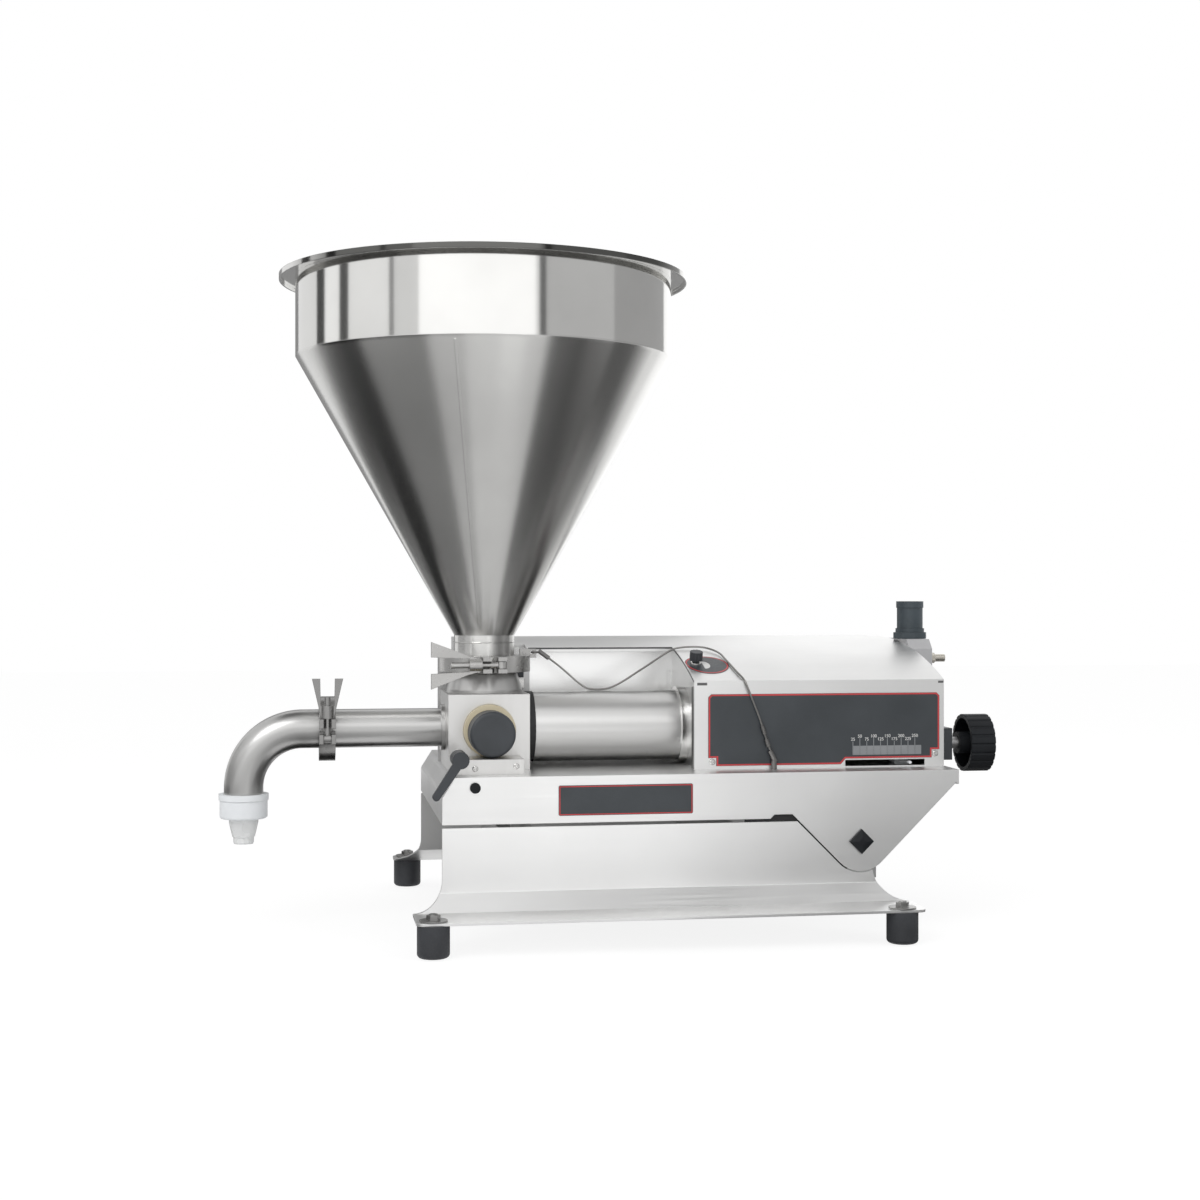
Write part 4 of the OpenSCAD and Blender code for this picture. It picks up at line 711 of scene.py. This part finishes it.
lip_seam_shade = cut_sheet("lip_seam_shade", oblong(-110, 40, 272.3, 274), lip_face, lip_depth)
settle(lip_seam_shade, edge_shade_film, "carriage")
deselect()
bpy.ops.mesh.primitive_grid_add(x_subdivisions=24, y_subdivisions=1, size=2)
roof_seam_shade = bpy.context.object
roof_seam_shade.name = "roof_seam_shade"
for spot in roof_seam_shade.data.vertices:
    y = seam_mid_y + spot.co.x * seam_reach
    spot.co = at(seam_x, y, roof_height(y) - seam_drop + spot.co.y * seam_half_height)
thicken(roof_seam_shade, seam_depth)
settle(roof_seam_shade, edge_shade_film, "carriage")

# Knob label: a dark oval of film that follows the roof round the speed knob, with a red line
# and a plain white half moon. A bright hexagon nut holds the knob's stem.
oval_x, oval_y, oval_w, oval_d, roof_edge_x = 62, -75, 44, 50, 41
oval_insets, oval_line_inner, oval_line_outer = (0.03, 0.07, 0.3, 0.25), 0.91, 0.968
film_proud, film_depth = 0.35, 0.3
knob_x, knob_y, stem_nut_lift = 51, -73, 0.1
stem_nut_r, stem_nut_h, stem_nut_wall, stem_nut_round = 0.0058, 0.0034, 0.0016, 0.0003
moon_x, moon_y, moon_half_w, moon_half_d, moon_cut_x = 58.5, -77.5, 6, 10, 57.5
moon_proud, moon_depth = 0.45, 0.15
deselect()
bpy.ops.mesh.primitive_circle_add(vertices=64, radius=1, fill_type="NGON")
knob_label = bpy.context.object
knob_label.name = "knob_label"
bpy.ops.object.mode_set(mode="EDIT")
bpy.ops.mesh.select_mode(type="FACE")
bpy.ops.mesh.select_all(action="SELECT")
for ring in oval_insets:
    bpy.ops.mesh.inset(thickness=ring)
bpy.ops.mesh.poke()
bpy.ops.object.mode_set(mode="OBJECT")
knob_label.data.materials.append(label_film)
knob_label.data.materials.append(red_ink)
for face in knob_label.data.polygons:
    reach = math.hypot(face.center.x, face.center.y)
    face.material_index = 1 if oval_line_inner < reach < oval_line_outer else 0
for spot in knob_label.data.vertices:
    x = max(oval_x + spot.co.x * oval_w / 2, roof_edge_x)
    y = oval_y + spot.co.y * oval_d / 2
    spot.co = at(x, y, roof_height(y) + film_proud)
thicken(knob_label, film_depth)
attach(knob_label, "carriage")

deselect()
bpy.ops.mesh.primitive_cylinder_add(vertices=6, radius=stem_nut_r, depth=stem_nut_h,
                                    location=(0, 0, stem_nut_h / 2))
stem_nut = bpy.context.object
stem_nut.name = "stem_nut"
pick_faces(stem_nut, lambda face: abs(face.normal.z) > 0.9)
bpy.ops.mesh.inset(thickness=stem_nut_wall, use_individual=True)
bpy.ops.mesh.delete(type="FACE")
bpy.ops.mesh.select_mode(type="EDGE")
bpy.ops.mesh.select_all(action="DESELECT")
bpy.ops.mesh.select_non_manifold()
bpy.ops.mesh.bridge_edge_loops()
bpy.ops.mesh.select_all(action="SELECT")
bpy.ops.mesh.normals_make_consistent(inside=False)
bpy.ops.mesh.bevel(offset=stem_nut_round, segments=2)
bpy.ops.object.mode_set(mode="OBJECT")
stem_nut.rotation_euler = (math.asin((crest_y - knob_y) / roof_r), 0, 0)
stem_nut.location = at(knob_x, knob_y, roof_height(knob_y) + stem_nut_lift)
settle(stem_nut, screw_steel, "carriage")

deselect()
bpy.ops.mesh.primitive_circle_add(vertices=24, radius=1, fill_type="NGON")
knob_mark = bpy.context.object
knob_mark.name = "knob_mark"
bpy.ops.object.mode_set(mode="EDIT")
bpy.ops.mesh.select_mode(type="FACE")
bpy.ops.mesh.select_all(action="SELECT")
bpy.ops.mesh.poke()
bpy.ops.object.mode_set(mode="OBJECT")
for spot in knob_mark.data.vertices:
    x = max(moon_x + spot.co.x * moon_half_w, moon_cut_x)
    y = moon_y + spot.co.y * moon_half_d
    spot.co = at(x, y, roof_height(y) + moon_proud)
thicken(knob_mark, moon_depth)
settle(knob_mark, white_ink, "carriage")

# Sensor: a small black plastic block on a bent bright bracket of sheet,
# fixed in front of the upright plate's right arm.
sensor_x, sensor_y, sensor_z = -117.5, 10.5, 246
sensor_size, sensor_round = (0.0094, 0.007, 0.006), 0.0006
bracket_left, bracket_right, bracket_low, bracket_high = -122, -111.5, 231.2, 242.4
bracket_cut, bracket_face, bracket_depth = 234, 12.8, 1.2
shelf_low, shelf_high, shelf_face, shelf_depth = 241.4, 242.8, 7, 7
bracket_outline = [(bracket_left, bracket_cut), (sensor_x, bracket_low),
                   (bracket_right, bracket_low), (bracket_right, bracket_high),
                   (bracket_left, bracket_high)]
shelf_outline = oblong(bracket_left, bracket_right, shelf_low, shelf_high)
deselect()
bpy.ops.mesh.primitive_cube_add(size=1, location=at(sensor_x, sensor_y, sensor_z))
sensor_block = bpy.context.object
sensor_block.name = "sensor_block"
sensor_block.scale = sensor_size
set_place(sensor_block)
bpy.ops.object.mode_set(mode="EDIT")
bpy.ops.mesh.select_all(action="SELECT")
bpy.ops.mesh.bevel(offset=sensor_round, segments=2)
bpy.ops.object.mode_set(mode="OBJECT")
settle(sensor_block, black_plastic, "carriage")
bracket_plate = cut_sheet("bracket_plate", bracket_outline, bracket_face, bracket_depth)
bracket_shelf = cut_sheet("bracket_shelf", shelf_outline, shelf_face, shelf_depth)
sensor_bracket = joined("sensor_bracket", [bracket_plate, bracket_shelf])
settle(sensor_bracket, screw_steel, "carriage")

# Hopper: spun and polished stainless with a flat rim. A rippled weld runs round its neck,
# and a flat one up the front of its cone.
neck_r, band_r, neck_top, band_low = 30.15, 187, 288, 564
weld_z, weld_r, weld_ripple, weld_ripples = 281, 0.0007, 0.3, 24
seam_angle, seam_half = -13.8, 1.3
seam_start, seam_end, seam_proud, seam_sunk = 0.02, 0.985, 0.35, -0.6
hopper_steel = metal("spun_hopper", (0.6, 0.597, 0.585), (0.68, 0.677, 0.663), 0.11,
                     stretch=(1, 1, 0.04), grain=500.0, depth=0.02, vary=0.03)
dress(hopper_steel, "hopper")
deselect()
bpy.ops.mesh.primitive_torus_add(major_radius=neck_r / 1000, minor_radius=weld_r,
                                 major_segments=96, minor_segments=8,
                                 location=at(hopper_x, hopper_y, weld_z))
neck_weld = bpy.context.object
neck_weld.name = "neck_weld"
for spot in neck_weld.data.vertices:
    turn = math.atan2(spot.co.y, spot.co.x)
    spot.co.z *= 1 + weld_ripple * math.cos(weld_ripples * turn)
bpy.ops.object.shade_smooth()
settle(neck_weld, hopper_steel, "carriage")
seam_turn = math.radians(seam_angle)
seam_across = Vector((math.cos(seam_turn), math.sin(seam_turn), 0)) * seam_half / 1000
deselect()
bpy.ops.mesh.primitive_cube_add(size=2)
cone_weld = bpy.context.object
cone_weld.name = "cone_weld"
for spot in cone_weld.data.vertices:
    rise = seam_end if spot.co.z > 0 else seam_start
    out = seam_proud if spot.co.y < 0 else seam_sunk
    side = seam_across if spot.co.x > 0 else -seam_across
    spot.co = around(seam_angle, neck_r + rise * (band_r - neck_r) + out,
                     neck_top + rise * (band_low - neck_top)) + side
bpy.ops.object.mode_set(mode="EDIT")
bpy.ops.mesh.select_all(action="SELECT")
bpy.ops.mesh.normals_make_consistent(inside=False)
bpy.ops.object.mode_set(mode="OBJECT")
settle(cone_weld, hopper_steel, "carriage")

# Finish of the hopper: the cone is brushed round its axis, with a painted reflection, a darker
# tone, on its right front, the band is polished, and the rolled edge of the rim is painted darker
# in front: painted shade where only the shade under it shows.
cone_ends, band_starts = 0.561, 0.566
cone_rough, band_rough, cone_brush, band_brush = 0.24, 0.1, 0.8, 0
rim_starts, rim_ends, rim_front_y, rim_side_y = 0.2, 0.2015, -0.165, -0.1
# Where and how dark the painted reflection on the cone and the painted shade under the rim are.
reflection_direction, reflection_starts, reflection_full = (0.545, -0.839, 0), 0.93, 0.985
rim_tone, reflection_tone = (0.11, 0.11, 0.105), (0.27, 0.268, 0.262)


def shaded(tree, colour, share, tone):
    """Mixes a darker tone into a colour by a share."""
    mix = tree.nodes.new("ShaderNodeMix")
    mix.data_type = "RGBA"
    mix.inputs["B"].default_value = (*tone, 1)
    tree.links.new(colour, mix.inputs["A"])
    tree.links.new(share, mix.inputs["Factor"])
    return mix.outputs["Result"]


hopper_tree = hopper_steel.node_tree
hopper_skin = shader(hopper_steel)
hopper_place = hopper_tree.nodes.new("ShaderNodeTexCoord").outputs["Object"]
hopper_split = hopper_tree.nodes.new("ShaderNodeSeparateXYZ")
hopper_tree.links.new(hopper_place, hopper_split.inputs[0])
hopper_height = hopper_split.outputs["Z"]
for look, on_cone, on_band in (("Roughness", cone_rough, band_rough),
                               ("Anisotropic", cone_brush, band_brush)):
    hopper_tree.links.new(spread(hopper_tree, hopper_height, on_cone, on_band,
                                 cone_ends, band_starts), hopper_skin.inputs[look])
hopper_skin.inputs["Anisotropic Rotation"].default_value = 0.25
hopper_round = hopper_tree.nodes.new("ShaderNodeTangent")
hopper_round.direction_type = "RADIAL"
hopper_round.axis = "Z"
hopper_tree.links.new(hopper_round.outputs[0], hopper_skin.inputs["Tangent"])
from_axis = reckon(hopper_tree, "VectorMath", "SUBTRACT", hopper_place, at(hopper_x, hopper_y, 0))
outwards = reckon(hopper_tree, "VectorMath", "MULTIPLY", from_axis, (1, 1, 0))
hopper_reach = reckon(hopper_tree, "VectorMath", "LENGTH", outwards)
rim_edge = spread(hopper_tree, hopper_reach, 0, 1, rim_starts, rim_ends)
rim_front = spread(hopper_tree, hopper_split.outputs["Y"], 1, 0, rim_front_y, rim_side_y)
rim_shade = reckon(hopper_tree, "Math", "MULTIPLY", rim_edge, rim_front)
# Painted reflection: the cone's colour is darkened on its right front, where the hood shows in
# the polished steel.
reflection_side = reckon(hopper_tree, "VectorMath", "NORMALIZE", outwards)
reflection_near = reckon(hopper_tree, "VectorMath", "DOT_PRODUCT", reflection_side, reflection_direction)
reflection_width = spread(hopper_tree, reflection_near, 0, 1, reflection_starts, reflection_full)
reflection_height = spread(hopper_tree, hopper_height, 1, 0, cone_ends, band_starts)
reflection_shade = reckon(hopper_tree, "Math", "MULTIPLY", reflection_width, reflection_height)
hopper_colour = hopper_skin.inputs["Base Color"].links[0].from_socket
hopper_colour = shaded(hopper_tree, hopper_colour, rim_shade, rim_tone)
hopper_colour = shaded(hopper_tree, hopper_colour, reflection_shade, reflection_tone)
hopper_tree.links.new(hopper_colour, hopper_skin.inputs["Base Color"])

# Clamps: cast stainless halves with hinge pins, swing bolts and wing nuts. The hopper's is
# brighter; the spout's is darker, and the studs and nuts of the feet look like it.
clamp_steel = metal("cast_clamp", (0.38, 0.376, 0.368), (0.52, 0.515, 0.505), 0.3, grain=250.0)
dress(clamp_steel, "hopper_clamp_left", "hopper_clamp_right", "hopper_clamp_pins",
      "hopper_clamp_bolt", "hopper_wing_nut")
dark_cast = metal("dark_cast_clamp", (0.24, 0.238, 0.234), (0.36, 0.356, 0.35), 0.3, grain=250.0)
dress(dark_cast, "spout_clamp_upper", "spout_clamp_lower", "spout_clamp_pins",
      "spout_clamp_bolt", "spout_wing_nut", "foot_fixings")

# Outlet: satin stainless tube and bend, held together by the spout's clamp.
# A white plastic union nut holds the translucent nozzle on the bend.
tube_steel = metal("satin_tube", (0.45, 0.448, 0.442), (0.51, 0.508, 0.502), 0.29,
                   stretch=(0.02, 1, 1), grain=500.0, depth=0.004, vary=0.01)
dress(tube_steel, "outlet_tube")
bend_steel = metal("satin_bend", (0.43, 0.428, 0.422), (0.48, 0.478, 0.472), 0.31,
                   grain=60.0, depth=0.002, vary=0.01)
dress(bend_steel, "spout_elbow")
nut_plastic = moulded("white_nut", (0.82, 0.845, 0.87), (0.88, 0.9, 0.92), 0.45)
dress(nut_plastic, "nozzle_nut", "piston", "stop_nut")
nozzle_plastic = moulded("clear_nozzle", (0.9, 0.91, 0.91), (0.94, 0.95, 0.95), 0.25,
                         grain=60.0, depth=0.01, edge=0)
shader(nozzle_plastic).inputs["Transmission Weight"].default_value = 0.12
dress(nozzle_plastic, "nozzle")
